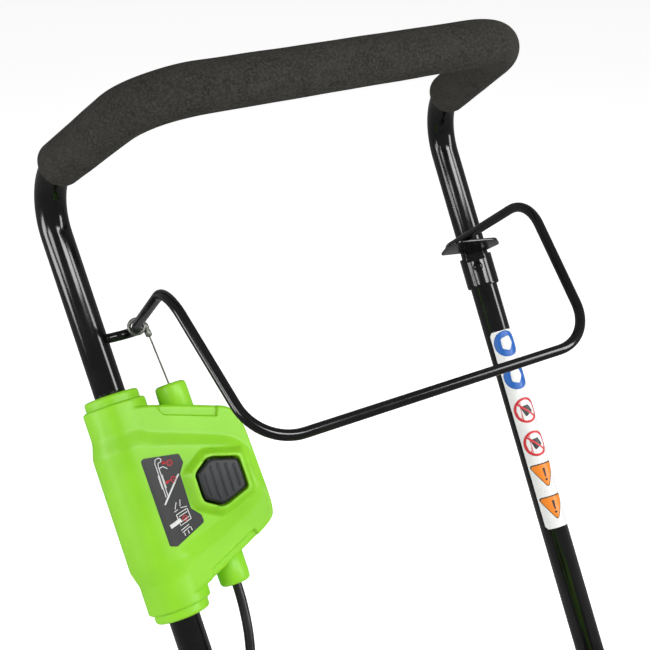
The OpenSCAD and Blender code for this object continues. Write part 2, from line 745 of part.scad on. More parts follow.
module tie_rods() color("silver") on_ground() for (t = [front_tie, rear_tie])
    x_rod(-plate_in, plate_in, tie_r, t[0], t[1]);

// Pivot pins with their heads and spacers, and the stop pins that the lower tubes lean on
module handle_pins() color("silver") on_ground() for (side = [-1, 1]) mirror([side < 0 ? 1 : 0, 0, 0]) {
    x_rod(hinge_half_w - tube_r - 2, plate_out, pivot_r, hinge_y, hinge_z);
    x_rod(plate_out, plate_out + 5, 9, hinge_y, hinge_z);
    x_rod(hinge_half_w - tube_r - 6, hinge_half_w - tube_r - 2, 8, hinge_y, hinge_z);
    x_ring(spacer_in, plate_in, spacer_r, pivot_r, hinge_y, hinge_z);
    x_rod(hinge_half_w - tube_r, plate_out + 1, stop_r, stop_at[0], stop_at[1]);
}

module hood_section() difference() {
    polygon(hood_outline);
    offset(delta = -hood_wall) polygon(hood_inside);
}

module hood() color([0.42, 0.74, 0.05]) on_ground() difference() {
    union() {
        x_plate(-hood_half, hood_half) hood_section();
        for (side = [-1, 1]) mirror([side < 0 ? 1 : 0, 0, 0]) {
            x_plate(hood_half - hood_wall, hood_half) polygon(hood_outline);
            x_rod(46, 56, knuckle_r, lid_axis[0], lid_axis[1]);
            translate([46, lid_axis[0] - 6, hood_top - 8]) cube([10, 6, 8]);
        }
        translate([key_x, key_y, hood_top - 52]) cylinder(r = key_boss_r, h = 38);
    }
    translate([-lid_half, lid_y0, 150]) cube([2 * lid_half, lid_y1 - lid_y0, 200]);
    x_rod(-60, 60, lid_pin_r, lid_axis[0], lid_axis[1]);
    for (side = [-1, 1]) x_rod(side * 38 - 8, side * 38 + 8, knuckle_r + gap, lid_axis[0], lid_axis[1]);
    x_rod(-hood_half - 1, -hood_half + 20, motor_r + 1, motor_y, motor_z);
    translate([lead_entry[0], hood_back - 20, hinge_z + lead_entry[1]]) rotate([-90, 0, 0])
        cylinder(r = lead_r + gap, h = 40);
    x_rod(-plate_in, plate_in, shield_r + shield_t, reel_y, reel_z);
    translate([key_x, key_y, hood_top - 50]) cylinder(r = key_r + run_gap, h = 60);
    translate([-hood_half - 1, -40, 60]) cube([hood_wall + 2, 80, 100]);
    translate([hood_half - hood_wall - 1, -40, 60]) cube([hood_wall + 2, 80, 100]);
}

module battery_tray() color([0.1, 0.1, 0.1]) on_ground() difference() {
    translate([-tray_half - tray_wall, tray_y0 - tray_wall, tray_z0 - tray_wall])
        cube([2 * (tray_half + tray_wall), tray_y1 - tray_y0 + 2 * tray_wall, tray_z1 - tray_z0 + tray_wall]);
    translate([-tray_half, tray_y0, tray_z0]) cube([2 * tray_half, tray_y1 - tray_y0, tray_z1]);
}

module motor_can() color("dimgray") on_ground() difference() {
    x_rod(-plate_in, -plate_in + 112, motor_r, motor_y, motor_z);
    x_rod(-plate_in + 4, -plate_in + 108, motor_r - 3, motor_y, motor_z);
    x_rod(-plate_in - 1, -plate_in + 5, motor_shaft_r + run_gap, motor_y, motor_z);
}

module belt_loop(grow)
    hull() {
        translate([reel_y, reel_z]) circle(r = reel_pulley_r + grow);
        translate([motor_y, motor_z]) circle(r = motor_pulley_r + grow);
    }

module belt_cover() color([0.09, 0.09, 0.09]) on_ground() difference() {
    x_plate(-case_out, -plate_out) belt_loop(9);
    x_plate(-case_out + case_wall, -plate_out + 1) belt_loop(9 - case_wall);
}

module drive_belt() color([0.04, 0.04, 0.04]) on_ground() {
    x_plate(-pulley_in - pulley_w / 2 - belt_w / 2, -pulley_in - pulley_w / 2 + belt_w / 2) difference() {
        belt_loop(belt_t - 1.2);
        belt_loop(-1.2 + gap);
    }
}

module pulley(r, y, z, bore)
    difference() {
        union() {
            x_rod(-pulley_in - pulley_w, -pulley_in, r - 1.2 - 0.2, y, z);
            x_rod(-pulley_in - 1.1, -pulley_in, r + 3, y, z);
            x_rod(-pulley_in - pulley_w, -pulley_in - pulley_w + 1.1, r + 3, y, z);
        }
        x_rod(-pulley_in - pulley_w - 1, -pulley_in + 1, bore, y, z);
    }

module reel_pulley() color("silver") on_ground() pulley(reel_pulley_r, reel_y, reel_z, shaft_r);

module motor_rotor() color("silver") on_ground() {
    x_rod(-pulley_in - pulley_w, -plate_in + 104, motor_shaft_r, motor_y, motor_z);
    x_ring(-plate_in + 12, -plate_in + 98, motor_r - 5, motor_shaft_r, motor_y, motor_z);
    pulley(motor_pulley_r, motor_y, motor_z, motor_shaft_r);
}

module reel_shaft() color("silver") on_ground()
    x_rod(-pulley_in - pulley_w, plate_out, shaft_r, reel_y, reel_z);

module reel_bearings() color("silver") on_ground() for (side = [-1, 1]) mirror([side < 0 ? 1 : 0, 0, 0])
    x_ring(plate_in - 3.5, plate_out + 2, bearing_r, shaft_r + run_gap, reel_y, reel_z);

module reel_spiders() color([0.1, 0.1, 0.1]) on_ground() for (k = [-1, -1 / 3, 1 / 3, 1])
    translate([k * spider_x - spider_t / 2, reel_y, reel_z]) rotate([0, 90, 0])
        rotate(-blade_twist * (k * spider_x / cut_w + 0.5)) linear_extrude(spider_t) difference() {
            union() {
                circle(r = 20);
                for (b = [0 : blade_n - 1]) rotate(360 * b / blade_n)
                    translate([0, -7]) square([reel_r - blade_depth + 1, 14]);
            }
            circle(r = shaft_r);
        }

module reel_blades() color([0.55, 0.56, 0.58]) on_ground()
    translate([0, reel_y, reel_z]) rotate([0, 90, 0]) for (b = [0 : blade_n - 1]) rotate(360 * b / blade_n)
        linear_extrude(cut_w, center = true, twist = blade_twist, slices = 24, $fn = 12)
            polygon([
                [reel_r - blade_depth, -blade_t / 2], [blade_tip, -blade_t / 2],
                [blade_tip, blade_t / 2], [reel_r - blade_depth, blade_t / 2]
            ]);

module reel_shield() color([0.08, 0.08, 0.08]) on_ground() translate([-plate_in, reel_y, reel_z])
    rotate([0, 90, 0]) rotate(120) rotate_extrude(angle = 120) translate([shield_r, 0])
        square([shield_t, 2 * plate_in]);

module bedknife() color([0.6, 0.6, 0.62]) on_ground()
    translate([-plate_in, bed_y, cut_h - bed_t]) cube([2 * plate_in, bar_back - bed_y, bed_t]);

module bed_bar() color([0.1, 0.1, 0.1]) on_ground()
    translate([-plate_in, bar_front, cut_h]) cube([2 * plate_in, bar_back - bar_front, bar_t]);

module wheel_axles() color("silver") on_ground() for (side = [-1, 1]) mirror([side < 0 ? 1 : 0, 0, 0]) {
    x_rod(plate_in - 5, hub_out + 2, axle_r, 0, axle_z);
    x_rod(plate_in - 5, plate_in, 10, 0, axle_z);
    x_ring(plate_out, hub_in - gap, 13, axle_r, 0, axle_z);
    x_rod(hub_out + 2, hub_out + 5, 12, 0, axle_z);
}

// ---- battery ----

module battery_lid() color([0.09, 0.09, 0.09]) on_ground() difference() {
    union() {
        intersection() {
            x_plate(-lid_half + gap, lid_half - gap) hood_section();
            translate([-lid_half, lid_y0 + gap, 150]) cube([2 * lid_half, lid_y1 - lid_y0 - 2 * gap, 200]);
        }
        for (side = [-1, 1]) {
            x_rod(side * 38 - 7.5, side * 38 + 7.5, knuckle_r - 0.2, lid_axis[0], lid_axis[1]);
            translate([side * 38 - 7.5, lid_axis[0], hood_top - 3]) cube([15, 9, 3]);
            translate([side * 38 - 7.5, lid_axis[0] + 4, hood_top - 7]) cube([15, 5, 5]);
        }
    }
    x_rod(-60, 60, lid_pin_r + run_gap, lid_axis[0], lid_axis[1]);
}

module lid_pin() color("silver") on_ground() x_rod(-56, 56, lid_pin_r, lid_axis[0], lid_axis[1]);

module battery_pack() color([0.12, 0.12, 0.13]) on_ground() {
    translate([-tray_half + 1, tray_y0 + 1, tray_z0 + 0.5])
        cube([2 * tray_half - 2, tray_y1 - tray_y0 - 2, tray_z1 - tray_z0 - 20]);
    translate([-30, 64, tray_z0 + 0.5]) cube([60, 12, tray_z1 - tray_z0 - 6]);
}

module safety_key() color([0.85, 0.3, 0.02]) on_ground() translate([key_x, key_y, 0]) {
    translate([0, 0, hood_top - 49]) cylinder(r = key_r, h = 36.5);
    translate([-4, -10, hood_top - 13.5]) cube([8, 20, 15]);
}

// ---- wheels and roller ----

module wheel_hub(side) color([0.42, 0.74, 0.05]) on_ground() mirror([side < 0 ? 1 : 0, 0, 0]) {
    x_ring(hub_in, hub_out, 20, axle_r + run_gap, 0, axle_z);
    x_ring(hub_in, hub_out, hub_r, hub_r - 6, 0, axle_z);
    x_ring(hub_in + tyre_w / 2 - 2.5, hub_in + tyre_w / 2 + 2.5, hub_r - 6, 20, 0, axle_z);
}

module wheel_tyre(side) color([0.05, 0.05, 0.05]) on_ground() mirror([side < 0 ? 1 : 0, 0, 0])
    x_ring(hub_in, hub_out, wheel_r, hub_r, 0, axle_z);

module left_hub() wheel_hub(-1);
module left_tyre() wheel_tyre(-1);
module right_hub() wheel_hub(1);
module right_tyre() wheel_tyre(1);

module height_arm() {
    difference() {
        x_plate(plate_in - gap - arm_t, plate_in - gap) hull() {
            translate([arm_y, arm_z]) circle(r = 13);
            translate([roller_y, roller_z]) circle(r = 11);
        }
        x_rod(0, plate_in, roller_pin_r, roller_y, roller_z);
    }
    x_rod(plate_in - gap, plate_out + 3, arm_pin_r, arm_y, arm_z);
    x_rod(roller_half - 20, plate_in - gap, roller_pin_r, roller_y, roller_z);
}

module height_arms() color([0.1, 0.1, 0.1]) on_ground() for (side = [-1, 1])
    mirror([side < 0 ? 1 : 0, 0, 0]) height_arm();

module roller() color([0.13, 0.13, 0.13]) on_ground()
    difference() {
        x_rod(-roller_half, roller_half, roller_r, roller_y, roller_z);
        for (side = [-1, 1])
            x_rod(side * roller_half - 24, side * roller_half + 24, roller_pin_r + run_gap,
                roller_y, roller_z);
    }

upper_tube();
foam_grip();
bail_bushes();
stop_bracket();
bracket_screw();
switch_front_shell();
switch_rear_shell();
switch_screws();
boots();
switch_decal();
tube_label();
micro_switch();
lead_upper();
lead_clips_upper();
bail_rod();
wire_hook();
pull_wire();
switch_slider();
slider_spring();
lock_button();
lower_tube_left();
lower_tube_right();
lower_brace();
fold_brackets();
fold_bolts();
fold_knob_left();
fold_knob_right();
lead_fold_loop();
lead_lower();
lead_clips_lower();
lead_deck_loop();
side_plate_left();
side_plate_right();
tie_rods();
handle_pins();
hood();
battery_tray();
motor_can();
belt_cover();
drive_belt();
reel_bearings();
reel_shield();
bedknife();
bed_bar();
wheel_axles();
battery_lid();
lid_pin();
battery_pack();
safety_key();
reel_shaft();
reel_spiders();
reel_blades();
reel_pulley();
motor_rotor();
left_hub();
left_tyre();
right_hub();
right_tyre();
height_arms();
roller();
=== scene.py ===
# Looks for a cordless reel mower: smooth moulded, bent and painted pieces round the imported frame.
import json
import math
import bpy
import numpy as np
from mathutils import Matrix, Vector


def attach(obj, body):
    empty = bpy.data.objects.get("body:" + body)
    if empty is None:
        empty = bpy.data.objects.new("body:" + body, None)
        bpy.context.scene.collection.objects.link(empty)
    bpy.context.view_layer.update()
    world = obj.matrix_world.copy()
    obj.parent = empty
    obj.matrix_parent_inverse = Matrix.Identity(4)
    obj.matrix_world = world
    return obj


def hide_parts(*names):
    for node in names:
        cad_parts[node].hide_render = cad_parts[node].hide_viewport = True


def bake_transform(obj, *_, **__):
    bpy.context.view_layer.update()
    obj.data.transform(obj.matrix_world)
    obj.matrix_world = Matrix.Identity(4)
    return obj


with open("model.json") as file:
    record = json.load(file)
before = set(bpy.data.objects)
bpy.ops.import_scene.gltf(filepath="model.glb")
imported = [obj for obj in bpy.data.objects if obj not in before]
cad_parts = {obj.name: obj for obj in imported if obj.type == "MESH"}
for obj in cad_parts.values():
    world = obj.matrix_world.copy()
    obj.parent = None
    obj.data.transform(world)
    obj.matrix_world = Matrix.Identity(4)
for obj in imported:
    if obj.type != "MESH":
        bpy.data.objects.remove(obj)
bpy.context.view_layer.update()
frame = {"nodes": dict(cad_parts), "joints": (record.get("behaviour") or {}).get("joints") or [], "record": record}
mm = 0.001
joints = {j["name"]: j for j in frame["joints"]}
print("frame loaded:", len(frame["nodes"]), "nodes")

# Frames
# The handle's frame has its origin at the deck hinge: x across, y up the slope, z in front.
handle = {
    "halfWidth": 188.4,    # leg centre to the middle, at the bail pivot
    "splay": math.radians(1.95),
    "tubeRadius": 12.7,
    "tubeBore": 11.2,
    "bailUp": 780.0,       # distances up a leg
    "foldUp": 320.0,
    "boxUp": 642.0,
    "topUp": 918.9,
    "gripReach": 192.2,
    "gripDrop": 10.6,
    "gripStep": 33.7,
    "topBend": 45.0,
    "gripBend": 52.0,
}
hinge = np.array(joints["handle_tilt"]["pos_m"])
pivot = np.array(joints["bail_squeeze"]["pos_m"])
foldPoint = np.array(joints["handle_fold"]["pos_m"])
slope = math.atan2(pivot[2] - hinge[2], pivot[1] - hinge[1])
handleAxes = np.array([
    [1, 0, 0],
    [0, math.cos(slope), math.sin(slope)],
    [0, -math.sin(slope), math.cos(slope)],
])
sinSplay = math.sin(handle["splay"])
cosSplay = math.cos(handle["splay"])
hingeHalf = handle["halfWidth"] - handle["bailUp"] * sinSplay


def onHandle(p):
    # millimetres in the handle's frame, turned up the slope and moved to the hinge, in metres
    return hinge + (np.asarray(p, float) * mm) @ handleAxes


def legToHandle(side, p):
    # x outward from the leg, y up it, z forward; side is 1 for the right leg and -1 for the left
    p = np.asarray(p, float)
    x = side * (hingeHalf + p[..., 0] * cosSplay + p[..., 1] * sinSplay)
    y = p[..., 1] * cosSplay - p[..., 0] * sinSplay
    return np.stack([x, y, p[..., 2]], -1)


def onLeg(side, p):
    # a leg's own frame, straight to metres
    return onHandle(legToHandle(side, p))


def onBox(p):
    # the switch box: x inward from the left leg, y up from the box's middle, z forward
    p = np.asarray(p, float)
    return onLeg(-1, np.stack([-p[..., 0], p[..., 1] + handle["boxUp"], p[..., 2]], -1))


# Mesh building
def newPiece(name, points, faceSets, smooth):
    # fills a mesh from whole arrays: points, and one array of corner numbers for each size of face
    counts = np.concatenate([np.full(len(f), f.shape[1]) for f in faceSets])
    loops = np.concatenate([f.ravel() for f in faceSets])
    mesh = bpy.data.meshes.new(name)
    mesh.vertices.add(len(points))
    mesh.vertices.foreach_set("co", points.astype(np.float32).ravel())
    mesh.loops.add(len(loops))
    mesh.loops.foreach_set("vertex_index", loops.astype(np.int32))
    mesh.polygons.add(len(counts))
    mesh.polygons.foreach_set("loop_start", (np.cumsum(counts) - counts).astype(np.int32))
    mesh.update(calc_edges=True)
    mesh.polygons.foreach_set("use_smooth", np.full(len(counts), smooth))
    piece = bpy.data.objects.new(name, mesh)
    bpy.context.scene.collection.objects.link(piece)
    return piece, loops


def makePiece(name, points, faceSets, smooth=True, uv=None):
    # points in metres; faceSets is a list of arrays of equal-sided faces; turned outwards by volume
    points = np.asarray(points, float).reshape(-1, 3)
    faceSets = [np.asarray(f, int) for f in faceSets if len(f)]
    middle = points.mean(0)
    volume = 0.0
    for faces in faceSets:
        for k in range(1, faces.shape[1] - 1):
            a, b, c = (points[faces[:, i]] - middle for i in (0, k, k + 1))
            volume += np.einsum("ij,ij->i", a, np.cross(b, c)).sum()
    if volume < 0:
        faceSets = [f[:, ::-1] for f in faceSets]
    piece, loops = newPiece(name, points, faceSets, smooth)
    piece.data.validate()
    if uv is not None:
        layer = piece.data.uv_layers.new(name="along")
        layer.data.foreach_set("uv", np.asarray(uv, float)[loops].astype(np.float32).ravel())
    return piece


def gridFaces(rows, columns):
    # quads over a grid of rows whose columns close on themselves
    i, j = np.meshgrid(np.arange(rows - 1), np.arange(columns), indexing="ij")
    k = (j + 1) % columns
    quads = np.stack([i * columns + j, i * columns + k, (i + 1) * columns + k, (i + 1) * columns + j], -1)
    return quads.reshape(-1, 4)


def loopSolid(name, grid, smooth=True, uv=None):
    # grid[row, column] of points: closed round the columns, flat faces over the first and last rows
    rows, columns = grid.shape[:2]
    ends = np.array([np.arange(columns)[::-1], (rows - 1) * columns + np.arange(columns)])
    return makePiece(name, grid, [gridFaces(rows, columns), ends], smooth, uv)


def joined(name, pieces):
    # several meshes as one piece
    points, sets, start = [], [], 0
    for piece in pieces:
        mesh = piece.data
        co = np.zeros(len(mesh.vertices) * 3, np.float32)
        mesh.vertices.foreach_get("co", co)
        points.append(co.reshape(-1, 3))
        loops = np.zeros(len(mesh.loops), np.int32)
        mesh.loops.foreach_get("vertex_index", loops)
        counts = np.zeros(len(mesh.polygons), np.int32)
        mesh.polygons.foreach_get("loop_total", counts)
        starts = np.cumsum(counts) - counts
        for size in np.unique(counts):
            which = starts[counts == size]
            sets.append(loops[which[:, None] + np.arange(size)] + start)
        start += len(mesh.vertices)
        bpy.data.objects.remove(piece)
    return newPiece(name, np.concatenate(points), sets, True)[0]


def sharpen(piece, angle=35):
    # edges that turn more than the angle stay crisp
    piece.data.set_sharp_from_angle(angle=math.radians(angle))
    return piece


def unit(v):
    v = np.asarray(v, float)
    return v / np.linalg.norm(v, axis=-1, keepdims=True)


def bentPath(corners, bends, step=4.0):
    # straight lines with an arc of the given radius at each inner corner, a point each few degrees
    corners = np.asarray(corners, float)
    points = [corners[:1]]
    for i in range(1, len(corners) - 1):
        d, e = unit(corners[i] - corners[i - 1]), unit(corners[i + 1] - corners[i])
        turn = math.acos(np.clip(d @ e, -1, 1))
        if turn < 1e-4:
            continue
        cut = bends[i] * math.tan(turn / 2)
        inward = unit(e - d * (e @ d))
        t = np.linspace(0, turn, max(3, int(math.degrees(turn) / step) + 1))[:, None]
        centre = corners[i] - d * cut + inward * bends[i]
        points.append(centre + bends[i] * (np.sin(t) * d - np.cos(t) * inward))
    points.append(corners[-1:])
    return np.concatenate(points)


def smoothPath(points, perSpan=6):
    # a curve through the points: each span is a cubic whose end slopes follow the neighbours
    p = np.asarray(points, float)
    p = np.concatenate([2 * p[:1] - p[1:2], p, 2 * p[-1:] - p[-2:-1]])
    t = np.linspace(0, 1, perSpan, endpoint=False)[None, :, None]
    a, b, c, d = (p[k:len(p) - 3 + k, None] for k in range(4))
    curve = 2 * b + (c - a) * t + (2 * a - 5 * b + 4 * c - d) * t ** 2 + (3 * b - a - 3 * c + d) * t ** 3
    curve = 0.5 * curve
    return np.concatenate([curve.reshape(-1, 3), p[-2:-1]])


class Path:
    # a path with its length and a frame that turns with it and never twists
    def __init__(self, points):
        self.p = np.asarray(points, float)
        gaps = np.linalg.norm(np.diff(self.p, axis=0), axis=1)
        self.s = np.concatenate([[0], np.cumsum(gaps)])
        self.length = self.s[-1]
        d = np.diff(self.p, axis=0) / gaps[:, None]
        self.t = unit(np.concatenate([d[:1], d[:-1] + d[1:], d[-1:]]))
        side = np.cross(self.t[0], [0.31, 0.17, 0.93])
        sides = []
        for t in self.t:
            side = unit(side - t * (side @ t))
            sides.append(side)
        self.n = np.array(sides)

    def at(self, s):
        s = np.asarray(s, float)
        p, t, n = (
            np.stack([np.interp(s, self.s, a[:, k]) for k in range(3)], -1)
            for a in (self.p, self.t, self.n)
        )
        over = s - np.clip(s, 0, self.length)
        t = unit(t)
        n = unit(n - t * (n * t).sum(-1, keepdims=True))
        return p + t * over[..., None], t, n, np.cross(t, n)


def sweep(name, path, stations, radii, place, sides=40, dent=None):
    # a round section carried along a path: a ring of its own radius at each station, ends closed
    stations, radii = np.asarray(stations, float), np.asarray(radii, float)
    turn = np.linspace(0, 2 * math.pi, sides, endpoint=False)
    p, _, n, b = path.at(stations)
    r = radii[:, None] * np.ones(sides)
    if dent is not None:
        r = r + dent(stations[:, None], turn[None, :])
    cosine, sine = np.cos(turn)[None, :, None], np.sin(turn)[None, :, None]
    grid = p[:, None] + r[..., None] * (cosine * n[:, None] + sine * b[:, None])
    uv = np.stack(np.broadcast_arrays(stations[:, None] * mm, turn[None, :] / 6.2832), -1).reshape(-1, 2)
    return loopSolid(name, place(grid), uv=uv)


def pipe(name, path, radius, bore, place):
    # a tube: up one bore, over the lip, along the outside and into the other bore
    depth, lip, sides = 40.0, 0.5, 48
    inner = np.linspace(depth, lip, 4)
    outer = path.s[(path.s > lip) & (path.s < path.length - lip)]
    rim = np.array([0.12 * lip, 0, 0.12 * lip])
    rise = np.array([bore + 0.12, (bore + radius) / 2, radius - 0.12])
    s = np.concatenate([inner, rim, outer, path.length - rim, path.length - inner[::-1]])
    r = np.concatenate([np.full(4, bore), rise, np.full(len(outer), radius), rise[::-1], np.full(4, bore)])
    return sweep(name, path, s, r, place, sides)


def turned(name, base, axis, profile, place, sides):
    # a lathe: profile is (distance along the axis, radius) from end to end
    path = Path([base, np.asarray(base, float) + np.asarray(axis, float)])
    profile = np.asarray(profile, float)
    return sweep(name, path, profile[:, 0], profile[:, 1], place, sides)


def roundOutline(points, radii, step=12.0):
    # a closed outline with an arc at every corner
    p = np.asarray(points, float)
    radii = np.broadcast_to(np.asarray(radii, float), len(p))
    found = []
    for i in range(len(p)):
        d, e = unit(p[i] - p[i - 1]), unit(p[(i + 1) % len(p)] - p[i])
        turn = math.atan2(d[0] * e[1] - d[1] * e[0], d @ e)
        cut = radii[i] * math.tan(abs(turn) / 2)
        if cut < 1e-6:
            found.append(p[i:i + 1])
            continue
        inward = np.array([-d[1], d[0]]) * np.sign(turn)
        t = np.linspace(0, abs(turn), max(2, int(math.degrees(abs(turn)) / step) + 2))[:, None]
        found.append(p[i] - d * cut + inward * radii[i] + radii[i] * (np.sin(t) * d - np.cos(t) * inward))
    return np.concatenate(found)


def inset(outline, distance):
    # the outline moved inwards along its own normals
    d = np.roll(outline, -1, 0) - np.roll(outline, 1, 0)
    normal = np.stack([-d[:, 1], d[:, 0]], 1) / np.linalg.norm(d, axis=1, keepdims=True)
    area = (outline[:, 0] * np.roll(outline[:, 1], -1) - outline[:, 1] * np.roll(outline[:, 0], -1)).sum()
    return outline + normal * distance * np.sign(area)


def denser(outline, step=1.0):
    # the outline with points added along its edges, about a step apart
    found = []
    for p, q in zip(outline, np.roll(outline, -1, 0)):
        count = max(1, int(np.hypot(*(q - p)) / step))
        found.append(p + (q - p) * np.linspace(0, 1, count, endpoint=False)[:, None])
    return np.concatenate(found)


def padGrid(outline, height, thick, rings, shrinkTo=0.02):
    # an outline shrunk in rings towards its middle, laid at the height over (x, y), and its own back below
    middle = outline.mean(0)
    ring = middle + (outline - middle)[None] * np.linspace(1, shrinkTo, rings)[:, None, None]
    top = (height(ring[..., 0], ring[..., 1]) + 0 * ring[..., 0])[..., None]
    return np.concatenate([np.concatenate([ring, top], -1)[::-1], np.concatenate([ring, top - thick], -1)])


def slab(name, outline, z0, z1, fillet, place):
    # an outline with thickness and rounded edges: rings from the lower face over the wall to the upper
    t = np.linspace(0, math.pi / 2, 5)
    insets = np.concatenate([fillet * (1 - np.sin(t)), fillet * (1 - np.cos(t))])
    heights = np.concatenate([z0 + fillet * (1 - np.cos(t)), z1 - fillet * (1 - np.sin(t))])
    rings = [np.column_stack([inset(outline, d), np.full(len(outline), z)]) for d, z in zip(insets, heights)]
    return sharpen(loopSolid(name, place(np.array(rings))), 50)


print("mesh tools ready")


# Materials
class Sock:
    # a shader socket that arithmetic can be written on
    def __init__(self, finish, socket):
        self.finish, self.socket = finish, socket

    def math(self, operation, *others):
        return self.finish.node("ShaderNodeMath", {"operation": operation}, self, *others)

    def __add__(self, other):
        return self.math("ADD", other)

    def __sub__(self, other):
        return self.math("SUBTRACT", other)

    def __rsub__(self, other):
        return self * -1 + other

    def __mul__(self, other):
        return self.math("MULTIPLY", other)

    __radd__ = __add__
    __rmul__ = __mul__


class Finish:
    # one material: its nodes, and the few patterns that the finishes share
    def __init__(self, name):
        self.material = bpy.data.materials.new(name)
        self.material.use_nodes = True
        self.tree = self.material.node_tree
        self.shader = self.tree.nodes["Principled BSDF"]
        self.place = self.node("ShaderNodeTexCoord", {}, out="Object")

    def node(self, kind, settings, *values, out=0, **named):
        # adds a node, sets what it is, then its sockets by order or by name
        node = self.tree.nodes.new(kind)
        for key, value in settings.items():
            if key == "stops":
                ramp = node.color_ramp.elements
                while len(ramp) < len(value):
                    ramp.new(0.5)
                for element, (position, colour) in zip(ramp, value):
                    element.position, element.color = position, (*colour, 1)
            else:
                setattr(node, key, value)
        filled = list(zip(node.inputs, values)) + [(node.inputs[key], value) for key, value in named.items()]
        for socket, value in filled:
            if isinstance(value, Sock):
                self.tree.links.new(value.socket, socket)
            else:
                socket.default_value = value
        return Sock(self, node.outputs[out])

    def noise(self, scale, detail=3.0, rough=0.55, stretch=None):
        # cloudy noise on Object coordinates, drawn out along an axis where stretch says so
        place = self.place
        if stretch is not None:
            place = self.node("ShaderNodeMapping", {}, Vector=self.place, Scale=stretch)
        return self.node("ShaderNodeTexNoise", {}, Vector=place, Scale=scale, Detail=detail, Roughness=rough)

    def ramp(self, value, low, high):
        # 0 below low, 1 above high, straight between them
        return self.node("ShaderNodeMapRange", {"clamp": True}, value, low, high, 0.0, 1.0)

    def blend(self, mask, first, second):
        # one colour into another by the mask
        mix = self.tree.nodes.new("ShaderNodeMix")
        mix.data_type = "RGBA"
        for index, value in ((0, mask), (6, first), (7, second)):
            if isinstance(value, Sock):
                self.tree.links.new(value.socket, mix.inputs[index])
            else:
                mix.inputs[index].default_value = value if index == 0 else (*value, 1)
        return Sock(self, mix.outputs[2])

    def bump(self, height, strength, distance=0.001, over=None):
        named = {"Height": height, "Strength": strength, "Distance": distance}
        if over is not None:
            named["Normal"] = over
        return self.node("ShaderNodeBump", {}, **named)

    def set(self, **named):
        # fills the shader's sockets by name; an underscore stands for a space
        for key, value in named.items():
            socket = self.shader.inputs[key.replace("_", " ")]
            if isinstance(value, Sock):
                self.tree.links.new(value.socket, socket)
            elif isinstance(value, tuple):
                socket.default_value = (*value, 1)
            else:
                socket.default_value = value
        return self.material


def glossPaint():
    # near black enamel: faint orange peel, and smudges that dull it
    f = Finish("glossPaint")
    peel = f.noise(260, 2)
    smudge = f.noise(35, 4)
    colour = f.blend(f.ramp(smudge, 0.4, 0.75), (0.0025, 0.0025, 0.0028), (0.0055, 0.0055, 0.006))
    f.set(Base_Color=colour, Roughness=0.12 + 0.08 * f.ramp(smudge, 0.35, 0.8), IOR=1.5)
    return f.set(Normal=f.bump(peel, 0.02, 0.0003))


def satinPaint():
    # powder coat with a fine grain, paler where it is rubbed
    f = Finish("satinPaint")
    peel = f.noise(420, 3)
    worn = f.ramp(f.noise(60, 5, 0.7), 0.62, 0.8)
    f.set(Base_Color=f.blend(worn, (0.009, 0.009, 0.0095), (0.03, 0.03, 0.031)), Roughness=0.34 + 0.15 * peel)
    return f.set(Normal=f.bump(peel, 0.18, 0.0005))


def foamRubber():
    # open cells: small pits, a coarser crumb over them, and patches of lighter dust
    f = Finish("foamRubber")
    cells = f.node("ShaderNodeTexVoronoi", {}, Vector=f.place, Scale=900.0)
    fine = f.noise(520, 5, 0.7)
    patches = f.noise(55, 5, 0.65)
    base = f.blend(f.ramp(patches, 0.3, 0.7), (0.011, 0.0102, 0.0088), (0.026, 0.0245, 0.0215))
    colour = f.blend(f.ramp(fine, 0.42, 0.68), base, (0.046, 0.0435, 0.038))
    f.set(Base_Color=colour, Roughness=0.88 + 0.10 * patches, Specular_IOR_Level=0.25)
    rough = f.bump(cells, 0.35, 0.0006)
    return f.set(Normal=f.bump(fine, 0.55, 0.0012, rough))


def mouldedGreen():
    # spark-eroded grain on a slightly translucent plastic
    f = Finish("mouldedGreen")
    grain = f.noise(1500, 2, 0.6)
    cloud = f.noise(22, 3)
    colour = f.blend(f.ramp(cloud, 0.3, 0.7), (0.225, 0.575, 0.012), (0.262, 0.635, 0.020))
    f.set(Base_Color=colour, Roughness=0.36 + 0.10 * grain, IOR=1.46)
    return f.set(Normal=f.bump(grain, 0.16, 0.0003), Subsurface_Weight=0.06, Subsurface_Scale=0.004)


def mouldedBlack(name="mouldedBlack", colour=(0.016, 0.016, 0.017), rough=0.48):
    # textured plastic or rubber in any dark colour, clouded a little lighter
    f = Finish(name)
    grain = f.noise(900, 3, 0.65)
    cloud = f.noise(30, 4)
    lighter = tuple(c * 1.7 for c in colour)
    f.set(Base_Color=f.blend(f.ramp(cloud, 0.35, 0.75), colour, lighter), Roughness=rough + 0.12 * grain)
    return f.set(Normal=f.bump(grain, 0.30, 0.0004))


def metal(name, colour, rough, stretch=(1.0, 1.0, 1.0), scale=180.0):
    # bare or plated metal: tool marks along an axis, and darker stains
    f = Finish(name)
    lines = f.noise(scale, 4, 0.6, stretch)
    stain = f.ramp(f.noise(24, 5, 0.65), 0.45, 0.8)
    darker = tuple(c * 0.62 for c in colour)
    f.set(Base_Color=f.blend(stain, colour, darker), Metallic=1.0, Roughness=rough + 0.18 * lines)
    return f.set(Normal=f.bump(lines, 0.14, 0.0004))


def printed(name, colour, rough=0.35):
    # printed film or ink with a faint fleck
    f = Finish(name)
    fleck = f.noise(700, 3)
    dim = tuple(c * 0.88 for c in colour)
    f.set(Base_Color=f.blend(f.ramp(fleck, 0.35, 0.75), colour, dim), Roughness=rough + 0.08 * fleck)
    return f.set(Normal=f.bump(fleck, 0.05, 0.0002))


